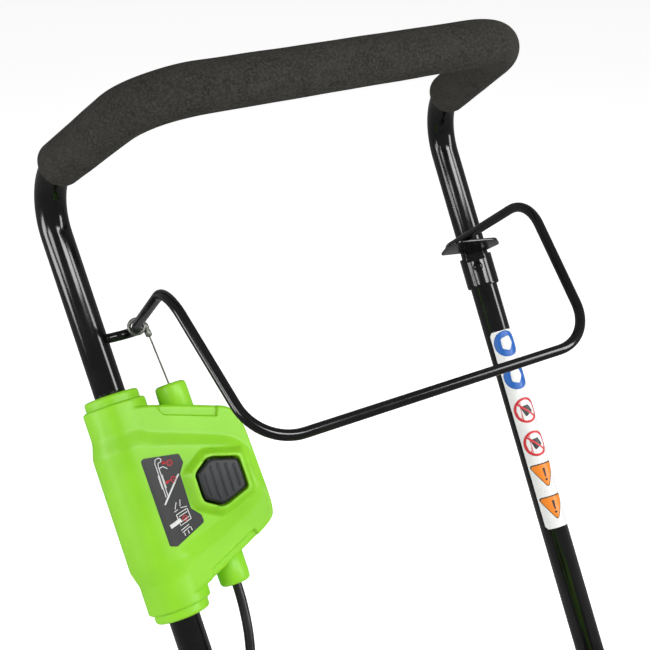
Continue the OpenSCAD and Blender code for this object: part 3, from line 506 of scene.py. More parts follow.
def rubberTyre():
    # dull rubber with dust in patches
    f = Finish("rubberTyre")
    fine = f.noise(420, 4, 0.7)
    dust = f.ramp(f.noise(40, 5, 0.7), 0.5, 0.85)
    colour = f.blend(dust, (0.011, 0.011, 0.0115), (0.035, 0.033, 0.030))
    f.set(Base_Color=colour, Roughness=0.72 + 0.15 * fine)
    return f.set(Normal=f.bump(fine, 0.35, 0.0006))


steel = (0.60, 0.61, 0.63)
finishes = {
    "gloss_paint": glossPaint(), "black_paint": satinPaint(), "foam": foamRubber(),
    "green_plastic": mouldedGreen(), "black_plastic": mouldedBlack(),
    "lead": mouldedBlack("leadSheath", (0.007, 0.007, 0.0075), 0.24),
    "button_rubber": mouldedBlack("buttonRubber", (0.014, 0.015, 0.017), 0.46),
    "battery_plastic": mouldedBlack("batteryCase", (0.02, 0.02, 0.022), 0.55),
    "roller_plastic": mouldedBlack("rollerPlastic", (0.018, 0.018, 0.018), 0.42),
    "nylon": mouldedBlack("naturalNylon", (0.55, 0.54, 0.48), 0.4),
    "key_plastic": mouldedBlack("keyPlastic", (0.62, 0.09, 0.006), 0.32),
    "belt_rubber": mouldedBlack("beltRubber", (0.012, 0.012, 0.012), 0.6),
    "tyre": rubberTyre(), "zinc": metal("zincPlate", steel, 0.24),
    "wire": metal("strandedWire", (0.24, 0.25, 0.22), 0.38),
    "spring_steel": metal("springSteel", (0.42, 0.42, 0.42), 0.3),
    "motor_steel": metal("motorSteel", (0.16, 0.16, 0.17), 0.42),
    "bearing_steel": metal("bearingSteel", steel, 0.18, (40.0, 1.0, 1.0)),
    "blade_steel": metal("bladeSteel", (0.40, 0.41, 0.43), 0.26, (1.0, 30.0, 30.0), 60.0),
    "pulley_aluminium": metal("pulleyAluminium", (0.66, 0.66, 0.68), 0.28, (30.0, 1.0, 1.0)),
    "decal": printed("decalFilm", (0.013, 0.013, 0.0145), 0.42),
    "label": printed("labelVinyl", (0.80, 0.80, 0.79), 0.30),
}
inks = {
    "white": printed("whiteInk", (0.78, 0.78, 0.77)), "red": printed("redInk", (0.62, 0.02, 0.03)),
    "blue": printed("blueInk", (0.010, 0.115, 0.45)), "amber": printed("amberInk", (0.86, 0.24, 0.012)),
    "black": printed("blackInk", (0.02, 0.02, 0.02)),
}
hookMetal = metal("hookMetal", (0.27, 0.28, 0.25), 0.42)
for part in frame["record"]["subparts"]:
    slots = frame["nodes"][part["node"]].data.materials
    slots.clear()
    slots.append(finishes[part["material_slot"]])
print("materials ready:", len(finishes) + len(inks))


def fit(piece, body, slot, *replaced, finish=None):
    # gives a piece its finish and its body, and hides the CAD nodes that it stands for
    piece.data.materials.clear()
    piece.data.materials.append(finish or finishes[slot])
    if body:
        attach(piece, body)
    if replaced:
        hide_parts(*replaced)
    return piece


# Upper handle
legTop = legToHandle(1, [0, handle["topUp"], 0])
legFoot = legToHandle(1, [0, handle["foldUp"] - 18, 0])
gripCorner = np.array([
    handle["halfWidth"] - handle["gripStep"],
    handle["topUp"] * cosSplay - handle["gripDrop"],
    handle["gripReach"],
])
mirrored = np.array([-1.0, 1.0, 1.0])
handlePath = Path(bentPath(
    [legFoot, legTop, gripCorner, gripCorner * mirrored, legTop * mirrored, legFoot * mirrored],
    [0, handle["topBend"], handle["gripBend"], handle["gripBend"], handle["topBend"], 0],
))
upperTube = pipe("upper_tube_skin", handlePath, handle["tubeRadius"], handle["tubeBore"], onHandle)
fit(upperTube, "upper_handle", "gloss_paint", "upper_tube")

foam = {"radius": 18.25, "fromBend": 44.0, "endRound": 4.5, "step": 2.4, "swell": 0.35}


def foamGrip():
    # round section along the grip: radius eases in over each end, with slow swells and fine dents
    armDir = unit(gripCorner - legTop)
    start = legTop + armDir * foam["fromBend"]
    path = Path(bentPath(
        [start, gripCorner, gripCorner * mirrored, start * mirrored],
        [0, handle["gripBend"], handle["gripBend"], 0], 3.0,
    ))
    count = int(path.length / foam["step"])
    t = np.linspace(0, math.pi / 2, 7)
    edge = foam["endRound"] * (1 - np.cos(t))
    ends = np.array([path.length, path.length])
    between = np.linspace(foam["endRound"], path.length - foam["endRound"], count)[1:-1]
    s = np.concatenate([[0.0, 0.0], edge, between, path.length - edge[::-1], ends])
    r = np.full(len(s), foam["radius"])
    r[2:9] = foam["radius"] - foam["endRound"] * (1 - np.sin(t))
    r[-9:-2] = r[2:9][::-1]
    r[[0, -1]] = handle["tubeRadius"]
    r[[1, -2]] = handle["tubeRadius"] + 0.6
    rng = np.random.default_rng(7)
    waves = rng.uniform(0.02, 0.16, 14), rng.integers(-3, 4, 14), rng.uniform(0, 6.28, 14)

    def dent(along, turn):
        wave = sum(np.sin(k * along + m * turn + a) for k, m, a in zip(*waves)) / 14
        inside = np.clip(np.minimum(along, path.length - along) / 12, 0, 1)
        return foam["swell"] * wave * inside
    piece = sweep("foam_grip_skin", path, s, r, onHandle, 72, dent)
    return fit(piece, "upper_handle", "foam", "foam_grip")


foamGrip()
print("upper tube and grip")

bail = {
    "radius": 4.0, "step": 33.4, "reach": 138.4, "rise": 8.8, "drop": 117.0, "barReach": 184.4,
    "heelBend": 17.0, "elbowBend": 34.0, "cornerBend": 38.0, "jog": 3.0,
}
bailY = handle["bailUp"] * cosSplay
armX = handle["halfWidth"] - bail["step"]
bailFoot = np.array([handle["halfWidth"] + 5, bailY, 0])
bailHeel = np.array([armX, bailY, 0])
bailElbow = np.array([armX + 5.8, bailY + bail["rise"], bail["reach"]])
bailCorner = np.array([armX - 11.2, bailY - bail["drop"], bail["barReach"]])


def bailRod():
    # one bent rod from leg to leg, with a small jog beside the left pivot that keeps the hook in place
    out = unit(bailElbow - bailHeel) * mirrored
    hook = bailHeel * mirrored + out * 14
    jog = np.array([0, -bail["jog"], 0])
    corners = [
        bailFoot, bailHeel, bailElbow, bailCorner, bailCorner * mirrored, bailElbow * mirrored,
        hook + out * 12, hook + out * 4 + jog, bailHeel * mirrored + jog * 0.3, bailFoot * mirrored,
    ]
    elbow, corner = bail["elbowBend"], bail["cornerBend"]
    bends = [0, bail["heelBend"], elbow, corner, corner, elbow, 9, 7, 15, 0]
    path = Path(bentPath(corners, bends, 5.0))
    s = np.concatenate([[0, 0.0], path.s[1:-1], [path.length, path.length]])
    r = np.full(len(s), bail["radius"])
    r[[0, -1]] = bail["radius"] - 0.8
    piece = sweep("bail_rod_skin", path, s, r, onHandle, 32)
    return fit(piece, "bail", "gloss_paint", "bail_rod")


bailRod()
hook = {"ring": 5.9, "wire": 1.6, "at": [0, 1.1, 19], "ferrule": 2.7}
hookAt = bailHeel * mirrored + hook["at"]
ferruleTop = hookAt + [7, 0, -1]
ferruleTip = hookAt + [8.5, -10.5, -2]


def wireHook():
    # a ring of wire round the rod, closed on itself, and the swaged ferrule that hangs from it
    turn = np.linspace(0, 2 * math.pi, 48)
    lean = 0.25 * np.cos(turn)
    loop = hookAt + hook["ring"] * np.stack([np.cos(turn), np.sin(turn), lean], 1)
    path = Path(loop)
    ring = sweep("hookRing", path, path.s, np.full(len(path.s), hook["wire"]), onHandle, 16)
    length = np.linalg.norm(ferruleTip - ferruleTop)
    r = hook["ferrule"]
    profile = [
        (-2, 0.6), (-1.6, 1.4), (-0.6, r * 0.8), (0.6, r), (3.2, r), (3.9, r * 0.82), (4.7, r * 0.82),
        (5.4, r), (length - 1.2, r), (length - 0.3, r * 0.7), (length, 0.9),
    ]
    ferrule = turned("hookFerrule", ferruleTop, unit(ferruleTip - ferruleTop), profile, onHandle, 24)
    return fit(joined("wire_hook_skin", [ring, ferrule]), "bail", "zinc", "wire_hook", finish=hookMetal)


wireHook()
boot = {"x": 48.0, "z": 5.0, "base": 55.5, "tip": 86.5, "radius": 13.3, "chamfer": 3.2}
pullWire = {"radius": 0.8, "strands": 6, "lay": 1.1}


def cableWire():
    # a strand section that turns as it goes: six lobes wound round the wire's axis
    boxTop = np.array([boot["x"], boot["tip"] - 6, boot["z"]])
    foot = np.stack([-(hingeHalf + (boxTop[1] + handle["boxUp"]) * sinSplay - boxTop[0] * cosSplay),
                     (boxTop[1] + handle["boxUp"]) * cosSplay + boxTop[0] * sinSplay, boxTop[2]])
    path = Path([ferruleTip - unit(ferruleTip - ferruleTop), foot])
    s = np.linspace(0, path.length, 160)

    def dent(along, turn):
        return -0.16 * np.abs(np.sin(pullWire["strands"] / 2 * (turn - along * pullWire["lay"])))
    piece = sweep("pull_wire_skin", path, s, np.full(len(s), pullWire["radius"]), onHandle, 24, dent)
    fit(piece, None, "wire", "pull_wire")
    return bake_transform(piece, "bail", "upper_handle", start=onHandle(ferruleTip), end=onHandle(foot))


cableWire()
print("bail, hook and wire")

# Switch box
box = {
    "half": 92.0, "collar": 7.6, "collarRadius": 22.2, "barrel": 25.6, "ridge": 29.2, "ridgeHalf": 47.0,
    "ramp": 12.5, "face": 24.4, "plateau": 28.6, "edge": 3.2, "draft": 12.0, "notch": 2.6,
    "seam": 0.2, "rim": 36.0, "rimSlope": 1.6,
    "outline": [
        (0, -79), (18.5, -76.2), (72.5, -54.2), (83.5, -49.6), (91.2, -43.6), (93.6, -36),
        (91.8, 39), (84.5, 54), (54.5, 65.9), (18.5, 76.7), (0, 79),
    ],
    "pad": [(-16, -47), (75, -23.5), (84, -16), (82, 14), (73, 23.5), (-16, 52)],
    "notches": [
        [(25.5, 75.5), (29, 64), (71.5, 49), (75.5, 58.5)],
        [(28.4, -64), (70.5, -47), (75.2, -56.5), (24.5, -76)],
    ],
    "button": [(-16.7, 10.4), (-16.7, -10.4), (-3.5, -19), (19.4, -12), (19.4, 12), (-3.5, 19)],
    "buttonX": 53.4, "rimWide": 4.4, "posts": [(76, 34.5), (76, -34.5), (26, 60.5), (26, -60.5)],
}


def depthIn(a, b, corners, soft):
    # how far a point is inside a convex outline, from its edges' lines, with softened corners
    p = np.asarray(corners, float)
    q = np.roll(p, -1, 0)
    if ((q[:, 0] - p[:, 0]) * (q[:, 1] + p[:, 1])).sum() > 0:
        p, q = q[::-1], p[::-1]
    d = q - p
    n = np.stack([-d[:, 1], d[:, 0]], 1) / np.linalg.norm(d, axis=1, keepdims=True)
    each = np.stack([(a - x) * nx + (b - y) * ny for (x, y), (nx, ny) in zip(p, n)])
    low = each.min(0)
    return low - soft * np.log(np.exp(-(each - low) / soft).sum(0))


def ease(t):
    # from 0 to 1 with level ends: three squares less two cubes
    t = np.clip(t, 0, 1)
    return t * t * (3 - 2 * t)


def ramp(t, soft=0.07):
    # a straight ramp from 0 to 1 with slightly rounded ends
    t = np.clip(t, -3, 4)
    return soft * (np.log1p(np.exp(t / soft)) - np.log1p(np.exp((t - 1) / soft)))


def barrelRadius(b):
    # end collar, plain barrel, then the ramp up to the ridge
    reach = np.abs(b)
    rise = ramp((box["ridgeHalf"] + box["ramp"] - reach) / box["ramp"])
    r = box["barrel"] + (box["ridge"] - box["barrel"]) * rise
    shoulder = box["half"] - box["collar"]
    r = r - 1.6 * ease((reach - shoulder + 2.2) / 2.2) ** 2
    past = np.clip((reach - box["half"] + 2.6) / 2.6, 0, 1)
    lip = box["collarRadius"] - 2.4 * (1 - np.sqrt(1 - 0.98 * past ** 2))
    return np.where(reach > shoulder, lip, r)


def softMax(x, y, k):
    # the larger of two heights, with the corner between them rounded over a width of k
    top = np.maximum(x, y)
    return top + k * np.log(np.exp((x - top) / k) + np.exp((y - top) / k))


def roundedEdge(depth, height, radius):
    # full height inside, a quarter round near the edge, then a steep drafted wall outside
    near = np.clip(radius - depth, 0, radius)
    top = height - radius + np.sqrt(np.clip(radius ** 2 - near ** 2, 0, None))
    return np.where(depth > 0, top, height - radius + box["draft"] * depth)


def boxHeight(a, b, front=True):
    # the box's skin over its parting plane: barrel and slab, then plateau, rim, pocket and notches
    r = barrelRadius(b)
    tube = np.sqrt(np.clip(r ** 2 - a ** 2, 0, None))
    depth = depthIn(a, b, box["outline"], 1.6)
    face = box["face"]
    if front:
        lift = ramp(1 + depthIn(a, b, box["pad"], 2.0) / (box["ramp"] - 0.055 * np.clip(a, 0, None)))
        face = face + (box["plateau"] - box["face"]) * lift
        for notch in box["notches"]:
            face = face - box["notch"] * ease(depthIn(a, b, notch, 0.4) / 1.3 + 0.5)
    slabTop = roundedEdge(depth, face, box["edge"])
    z = np.where(slabTop > 0, softMax(tube, slabTop, 0.5), tube)
    if front:
        inButton = depthIn(a - box["buttonX"], b, box["button"], 1.2)
        out = inButton + box["rimWide"]
        rim = box["rim"] + box["rimSlope"] * out - box["rimSlope"] * 0.35 * np.log1p(np.exp(out / 0.35))
        z = np.where(rim > 15, softMax(z, rim, 0.4), z)
        pocket = box["plateau"] - 4 + 8.0 * np.clip(-inButton - 0.5, 0, None)
        z = np.minimum(z, np.where(inButton > -2.0, pocket, 99))
    else:
        for x, y in box["posts"]:
            hole = np.hypot(a - x, b - y)
            z = np.where(hole < 3.6, np.minimum(z, box["face"] - 2 + 6 * np.clip(hole - 3.3, 0, None)), z)
    return z


def boxHalf(name, front, rows, columns):
    # rows across the box at steps along the tube; each row's points are evenly spaced along its own outline
    half = box["half"]
    steps = np.concatenate([
        np.linspace(-half, half, rows), *[s * np.linspace(74, 80, 26) for s in (-1, 1)],
        *[s * np.linspace(half - 9, half, 26) for s in (-1, 1)],
    ])
    b = np.unique(np.round(steps, 3))[:, None]
    r = barrelRadius(b)
    t = np.linspace(0, 1, 180)[None]
    left = -r * np.cos(t * math.pi / 2)
    # where the drafted wall meets the parting plane
    reach = np.linspace(0, 96, 1921)[None]
    wall = depthIn(reach + 0 * b, b + 0 * reach, box["outline"], 1.6)
    inside = (box["face"] - box["edge"] + box["draft"] * wall > 0)
    edge = np.where(inside.any(1), reach[0][inside.shape[1] - 1 - inside[:, ::-1].argmax(1)], 0)[:, None]
    end = np.maximum(edge, r)
    u = np.linspace(0, 1, 1500)[None]
    right = end * (1 - np.cos(math.pi * u)) / 2
    a = np.concatenate([left, right[:, 1:]], 1)
    z = np.clip(boxHeight(a, b + 0 * a, front), 0, None)
    z[:, [0, -1]] = 0
    gaps = np.hypot(np.diff(a, axis=1), np.diff(z, axis=1))
    along = np.concatenate([np.zeros_like(b), np.cumsum(gaps, 1)], 1)
    grid = np.zeros((len(b), columns + 1, 3))
    for i in range(len(b)):
        s = np.linspace(0, along[i, -1], columns + 1)
        grid[i, :, 0] = np.interp(s, along[i], a[i])
        grid[i, :, 2] = np.interp(s, along[i], z[i]) + box["seam"]
        grid[i, :, 1] = b[i]
    if not front:
        grid[..., 2] *= -1
    return sharpen(loopSolid(name, onBox(grid)), 60)


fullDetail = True
frontShell = boxHalf("switch_front_skin", True, 250 if fullDetail else 120, 270 if fullDetail else 150)
fit(frontShell, "upper_handle", "green_plastic", "switch_front_shell")
rearShell = boxHalf("switch_rear_skin", False, 170 if fullDetail else 90, 190 if fullDetail else 120)
fit(rearShell, "upper_handle", "green_plastic", "switch_rear_shell")
print("switch box shells")


def bootSleeves():
    # a plug with a rounded tip at each end of the box, dimpled where the wire or the lead goes in
    made = []
    for side, hole, radius in ((1, 1.6, boot["radius"]), (-1, 4.2, boot["radius"] - 0.4)):
        tip = boot["tip"] - boot["base"]
        if side < 0:
            tip -= 2.5
        t = np.linspace(0, math.pi / 2, 6)
        c = boot["chamfer"]
        profile = [(-8, radius), (tip - 6, radius - 0.2)]
        profile += [(tip - c + c * math.sin(x), radius - 0.4 - c + c * math.cos(x)) for x in t]
        profile += [(tip, hole + 1.2), (tip - 0.3, hole + 0.4), (tip - 1.2, hole), (tip - 4, hole)]
        base = [boot["x"], side * boot["base"], boot["z"]]
        made.append(turned("boot", base, [0, side, 0], profile, onBox, 56))
    return fit(joined("boots_skin", made), "upper_handle", "green_plastic", "boots")


bootSleeves()
button = {
    "top": 38.2, "crown": 0.9, "round": 2.2, "base": 20.5,
    "ribs": 5, "ribPitch": 6.3, "ribHeight": 0.75, "ribHalf": 0.95, "firstRib": 1.4,
}


def lockButton():
    # the hexagon shrunk in rings towards its middle; height is a crown, a rounded edge and five ribs
    outline = inset(denser(roundOutline(box["button"], 2.6, 8.0), 0.55), 0.35)
    shrink = np.concatenate([np.linspace(1, 0.86, 14), np.linspace(0.85, 0.02, 60)])
    ring = outline[None] * shrink[:, None, None]
    depth = depthIn(ring[..., 0], ring[..., 1], box["button"], 1.2) - 0.35
    near = np.clip(button["round"] - depth, 0, button["round"])
    z = button["top"] - button["round"] + np.sqrt(np.clip(button["round"] ** 2 - near ** 2, 0, None))
    z = z + button["crown"] * (1 - (ring ** 2).sum(-1) / 20 ** 2) - button["crown"]
    first = button["firstRib"] - button["ribPitch"] * (button["ribs"] - 1) / 2
    for k in range(button["ribs"]):
        off = (ring[..., 0] - first - k * button["ribPitch"]) / button["ribHalf"]
        z = z + button["ribHeight"] * np.exp(-off ** 2) * ease((depth - 2.6) / 2.2)
    grid = np.concatenate([ring, z[..., None]], -1)
    skirt = [
        np.column_stack([outline, np.full(len(outline), height)])
        for height in (button["base"], button["top"] - button["round"] - 0.4)
    ]
    grid = np.concatenate([skirt, grid])
    grid[..., 0] += box["buttonX"]
    piece = sharpen(loopSolid("lock_button_skin", onBox(grid)), 60)
    return fit(piece, "button", "button_rubber", "lock_button")


lockButton()

# Decal: a printed film that lies on the plateau, with plain line marks of a handle and a switch
decal = {
    "outline": [
        (-0.8, 36.4), (30.2, 30.6), (31.4, 22.6), (26.0, 17.0), (25.4, -13.0), (31.8, -20.6), (32.2, -26.8),
        (5.6, -37.2), (0.0, -34.8),
    ],
    "corners": [3, 2.2, 2.4, 2, 2, 2.4, 2.4, 3, 1.2], "lift": 0.22, "thick": 0.3,
    "inkLift": 0.36, "inkThick": 0.1, "line": 0.62,
}


def filmHeight(a, b):
    # the film's face, a hair over the front shell
    return boxHeight(a, b) + box["seam"] + decal["lift"]


def decalFilm():
    # the film's outline, rounded, laid on the plateau
    outline = denser(roundOutline(decal["outline"], decal["corners"], 10.0))
    film = loopSolid("switch_decal_skin", onBox(padGrid(outline, filmHeight, decal["thick"], 30)))
    return fit(sharpen(film, 50), "upper_handle", "decal", "switch_decal")


def strokes(name, lines, ink, width):
    # each line is a ribbon of the given width, with thickness, laid on the film
    made = []
    for line in lines:
        p = np.asarray(line, float)
        spans = [
            a + (b - a) * np.linspace(0, 1, max(2, int(np.hypot(*(b - a)) / 1.2) + 1))[:-1, None]
            for a, b in zip(p[:-1], p[1:])
        ]
        p = np.concatenate(spans + [p[-1:]])
        t = np.gradient(p, axis=0)
        n = np.stack([-t[:, 1], t[:, 0]], 1) / (np.linalg.norm(t, axis=1, keepdims=True) + 1e-9)
        left, right = p + n * width / 2, p - n * width / 2
        corners = []
        for side, drop in ((left, 0), (right, 0), (right, decal["inkThick"]), (left, decal["inkThick"])):
            height = boxHeight(side[:, 0], side[:, 1]) + box["seam"] + decal["inkLift"]
            corners.append(np.column_stack([side, height - drop]))
        made.append(loopSolid("stroke", onBox(np.stack(corners, 1)), False))
    return fit(joined(name, made), "upper_handle", "decal", finish=inks[ink])


def circle(x, y, r, count=28):
    # points round a circle, the last on the first
    t = np.linspace(0, 2 * math.pi, count)
    return np.column_stack([x + r * np.cos(t), y + r * np.sin(t)])


decalFilm()
handleMark = [
    (9.4, 8), (9.4, 25.5), (9.2, 29.0), (10.4, 32.0), (13.4, 32.6), (15.2, 31.0), (14.2, 29.2), (11.8, 28.8),
    (11.2, 26.0), (11.2, 8),
]
whiteMarks = [
    handleMark, [(8.6, 19.5), (8.6, 8.5)], [(12.0, 19.5), (12.0, 8.5)],
    [(9.4, 8), (9.4, 1.5)], [(11.2, 8), (11.2, 1.5)], [(11.5, 24.6), (14.6, 25.2), (17.6, 22.4)],
    [(12.6, -14), (22.4, -12), (23.0, -20.5), (13.4, -23), (12.6, -14)],
    [(14.2, -16), (21.8, -14.3)], [(14, -20.6), (22, -18.4)],
    [(13, -9.6), (15.6, -4.6)], [(17.6, -8.6), (19.2, -3.4)],
    [(12.4, -26.6), (19.8, -24.2)], [(12.8, -28.6), (20.2, -26.0)],
    [(14.4, -29), (14.4, -31.6)], [(17.6, -28), (17.8, -31)], [(20.6, -26.4), (20.9, -29.4)],
    [(11.8, -11.4), (15.2, -10.4)], [(17.4, -9.8), (22.8, -10.4)],
]
redMarks = [
    circle(20.6, 26.2, 2.1), circle(19.6, 13.0, 2.1), circle(18.4, -18.6, 1.9),
    [(20.0, 26.4), (21.2, 26.0)], [(19.2, 13.4), (20.0, 12.6)], [(18.0, -18.2), (18.8, -19.0)],
    [(17.9, 27.0), (14.8, 28.4)], [(17.0, 13.4), (13.2, 12.4)],
]
strokes("decal_marks_white", whiteMarks, "white", decal["line"])
strokes("decal_band", [[(6.6, -3.6), (24.6, 15.6)]], "white", 1.3)
strokes("decal_marks_pale", [[(5.2, -21.2), (9.6, -20.2)], [(9.0, -20.4), (15.0, -18.4)]], "white", 3.2)
strokes("decal_marks_red", redMarks, "red", 0.75)
strokes("decal_arrows_red", [[(16.8, 27.5), (15.0, 28.3)], [(14.8, 12.8), (13.0, 12.3)]], "red", 2.4)
print("boots, button and decal")

# Label on the right leg: plain coloured discs, rings and triangles on white vinyl
label = {"from": 502.0, "to": 692.0, "spread": math.radians(70), "corner": 2.5}


def onTubeSkin(points):
    # x is the distance round the tube from its front, y the distance up the leg, z the height off the tube
    radius = handle["tubeRadius"] + points[..., 2]
    turn = points[..., 0] / handle["tubeRadius"]
    return onLeg(1, np.stack([radius * np.sin(turn), points[..., 1], radius * np.cos(turn)], -1))


def tubeMark(outline, lift, rings, thick=0.06, shrinkTo=0.02):
    # a pad wrapped round the tube; a ring that keeps its hole is closed through it
    grid = padGrid(outline, lambda x, y: lift, thick, rings, shrinkTo)
    if shrinkTo > 0.1:
        grid = np.concatenate([grid, grid[:1]])
    return sharpen(loopSolid("mark", onTubeSkin(grid)), 50)


def labelStrip():
    # rows up the leg, each an arc round the tube that narrows at the strip's rounded corners
    half = label["spread"] * handle["tubeRadius"]
    rows = np.linspace(label["from"], label["to"], 60)
    near = np.clip(label["corner"] - np.minimum(rows - label["from"], label["to"] - rows), 0, label["corner"])
    width = half - label["corner"] + np.sqrt(label["corner"] ** 2 - near ** 2)
    u = np.linspace(-1, 1, 40)
    front = np.stack([u[None] * width[:, None], rows[:, None] + 0 * u[None], np.full((60, 40), 0.22)], -1)
    back = front[:, ::-1].copy()
    back[..., 2] = 0.02
    piece = loopSolid("tube_label_skin", onTubeSkin(np.concatenate([front, back], 1)))
    return fit(sharpen(piece, 50), "upper_handle", "label", "tube_label")


labelStrip()
marks = {
    "lift": 0.30, "across": -1.5, "blue": (679.0, 647.0), "ring": (614.0, 582.0), "triangle": (551.0, 520.0),
    "disc": 12.4, "ringOuter": 12.0, "bar": [(-8.6, 7.4), (-7.4, 8.6), (8.6, -7.4), (7.4, -8.6)],
    "triangleShape": [(-12.6, 10.8), (12.6, 10.8), (0, -11.0)],
    "stroke": [(-1.3, 7.2), (1.3, 7.2), (0.7, -1.0), (-0.7, -1.0)],
    "darkShape": [(-5, 4), (3, 5), (6, -2), (-2, -6)],
    "paleShape": [(-5, 5.5), (4, 7.5), (6, 0), (1, -7), (-5.5, -4)],
}


def markAt(shape, y, corner=None, grow=1.0):
    # a mark's outline at a height up the leg, its corners rounded where a radius is given
    outline = np.array(shape, float) * grow + [marks["across"], y]
    return denser(outline if corner is None else roundOutline(outline, corner))


def placeMarks(name, ink, made):
    # marks of one ink as one piece
    fit(joined(name, made), "upper_handle", "label", finish=inks[ink])


def labelMarks():
    # two discs, two barred rings and two triangles up the strip, each with a plain shape on it
    lift, across, triangle = marks["lift"], marks["across"], marks["triangleShape"]
    placeMarks("label_discs", "blue", [
        tubeMark(circle(across, y, marks["disc"], 49)[:-1], lift, 12) for y in marks["blue"]
    ])
    placeMarks("label_rings", "red", [
        tubeMark(circle(across, y, marks["ringOuter"], 49)[:-1], lift, 4, shrinkTo=0.82)
        for y in marks["ring"]
    ] + [
        tubeMark(markAt(marks["bar"], y), lift + 0.06, 6) for y in marks["ring"]
    ])
    placeMarks("label_triangles", "amber", [
        tubeMark(markAt(triangle, y, 1.8), lift, 12) for y in marks["triangle"]
    ])
    placeMarks("label_triangle_edges", "black", [
        tubeMark(markAt(triangle, y, 2.2, 1.1), lift - 0.05, 4, 0.05, 0.8) for y in marks["triangle"]
    ])
    placeMarks("label_symbols", "black", [
        tubeMark(markAt(marks["stroke"], y, 0.4), lift + 0.05, 6, 0.05) for y in marks["triangle"]
    ] + [
        tubeMark(circle(across, y - 3.6, 1.2, 17)[:-1], lift + 0.05, 4, 0.05) for y in marks["triangle"]
    ] + [
        tubeMark(markAt(marks["darkShape"], y, 1.2), lift, 6, 0.05) for y in marks["ring"]
    ])
    placeMarks("label_symbols_white", "white", [
        tubeMark(markAt(marks["paleShape"], y, 2.2), lift + 0.05, 8, 0.05) for y in marks["blue"]
    ])


labelMarks()
print("label")

# Stop bracket
stopPlate = {
    "drop": 4.7, "roll": math.radians(8), "pitch": math.atan2(8.8, 138.4), "thick": 2.5, "edge": 0.7,
    "outline": [(-10, 11), (-21.5, 50.5), (27, 50.5), (40.5, 34), (36, 12)], "corners": [3, 9, 9, 6, 3],
}
sleeve = {
    "radius": 15.2, "bore": 12.75, "top": 767.0, "low": 737.0, "spread": math.radians(92), "corner": 7.0,
    "turn": math.radians(-34),    # turned inwards on the leg, under the bail's arm
}


def onSleeve(p):
    # the right leg's frame, turned about the leg
    c, s = math.cos(sleeve["turn"]), math.sin(sleeve["turn"])
    return onLeg(1, np.stack([p[..., 0] * c + p[..., 2] * s, p[..., 1], p[..., 2] * c - p[..., 0] * s], -1))


def stopBracket():
    # the shelf under the bail's arm, and the half sleeve that clips it to the leg
    outline = roundOutline(stopPlate["outline"], stopPlate["corners"], 9.0)
    cr, sr = math.cos(stopPlate["roll"]), math.sin(stopPlate["roll"])
    cp, sp = math.cos(stopPlate["pitch"]), math.sin(stopPlate["pitch"])

    def place(p):
        x, z, y = p[..., 0], p[..., 1], -p[..., 2]
        y, z = y * cp + z * sp, z * cp - y * sp
        x, y = x * cr + y * sr, y * cr - x * sr
        return onHandle(np.stack([x + armX, y + bailY - stopPlate["drop"], z], -1))
    shelf = slab("shelf", outline, 0, stopPlate["thick"], stopPlate["edge"], place)
    rows = np.linspace(sleeve["low"], sleeve["top"], 40)
    near = np.clip(sleeve["corner"] - (rows - sleeve["low"]), 0, sleeve["corner"])
    trim = sleeve["corner"] - np.sqrt(sleeve["corner"] ** 2 - near ** 2)
    spread = sleeve["spread"] - trim / sleeve["radius"]
    u = np.linspace(-1, 1, 48)
    turn = u[None] * spread[:, None]
    lip = 0.35 * np.exp(-((rows - sleeve["low"]) / 0.8) ** 2)[:, None]
    up = rows[:, None] + 0 * turn
    outer, inner = (
        np.stack([radius * np.sin(turn), up, radius * np.cos(turn)], -1)
        for radius in (sleeve["radius"] - lip, sleeve["bore"])
    )
    cuff = sharpen(loopSolid("cuff", onSleeve(np.concatenate([outer, inner[:, ::-1]], 1))), 50)
    neckOutline = roundOutline([(-9, 762), (9, 762), (8, 774.5), (-8, 774.5)], 1.5)
    neck = slab("neck", neckOutline, 12.9, 15.3, 0.5, onSleeve)
    piece = joined("stop_bracket_skin", [shelf, cuff, neck])
    return fit(piece, "upper_handle", "gloss_paint", "stop_bracket")


def socketScrew():
    # a button head with a round socket, turned from one profile
    base = np.array([0, handle["bailUp"] - 24, 15.2])
    profile = [
        (-2, 2.4), (-0.2, 4.5), (0.0, 4.6), (0.7, 4.5), (1.6, 3.9), (2.2, 3.1), (2.35, 2.4), (2.2, 2.1),
        (0.9, 2.0), (0.9, 0.3),
    ]
    piece = sharpen(turned("bracket_screw_skin", base, [0, 0, 1], profile, onSleeve, 36), 50)
    return fit(piece, "upper_handle", "black_paint", "bracket_screw", finish=finishes["gloss_paint"])


stopBracket()
socketScrew()
print("stop bracket")

# Switch lead: its route down the left leg, as [inward, distance up the leg, forward]
lead = {"radius": 4.0}
leadUpper = [
    [48, 585, 5], [48, 570, 5], [48, 552, 5], [47, 536, 5], [44.5, 518, 5], [40.5, 500, 4], [35, 482, 3],
    [29, 464, 2], [23.5, 446, 1], [19.5, 428, 0], [18, 412, 0], [18, 396, 0], [18, 382, 0],
]
leadFold = [
    [18, 382, 0], [18, 374, 0], [20.5, 364, 0], [24, 353, 0], [28, 342, 0], [30.5, 331, 0], [31, 320, 0],
    [30.5, 309, 0], [28, 297, 0], [24.5, 285, 0], [21, 273, 0], [18.5, 261, 0], [18.5, 252, 0],
]
leadLower = [
    [18.5, 252, 0], [18.5, 243, 0], [17.5, 232, 4], [14, 220, 10], [9.5, 208, 14.5], [6, 194, 16.2],
    [6, 178, 16.2], [6, 158, 16.2], [6, 138, 16.2], [6, 118, 16.2], [6, 98, 16.2], [6, 80, 16.2],
    [6, 66, 16.2],
]
leadDeck = [
    [-155, 15, 46], [-149, 8, 37], [-141, 2, 30], [-133, -5, 26.5], [-129, -13, 26], [-129, -22, 26],
    [-129, -31, 26],
]


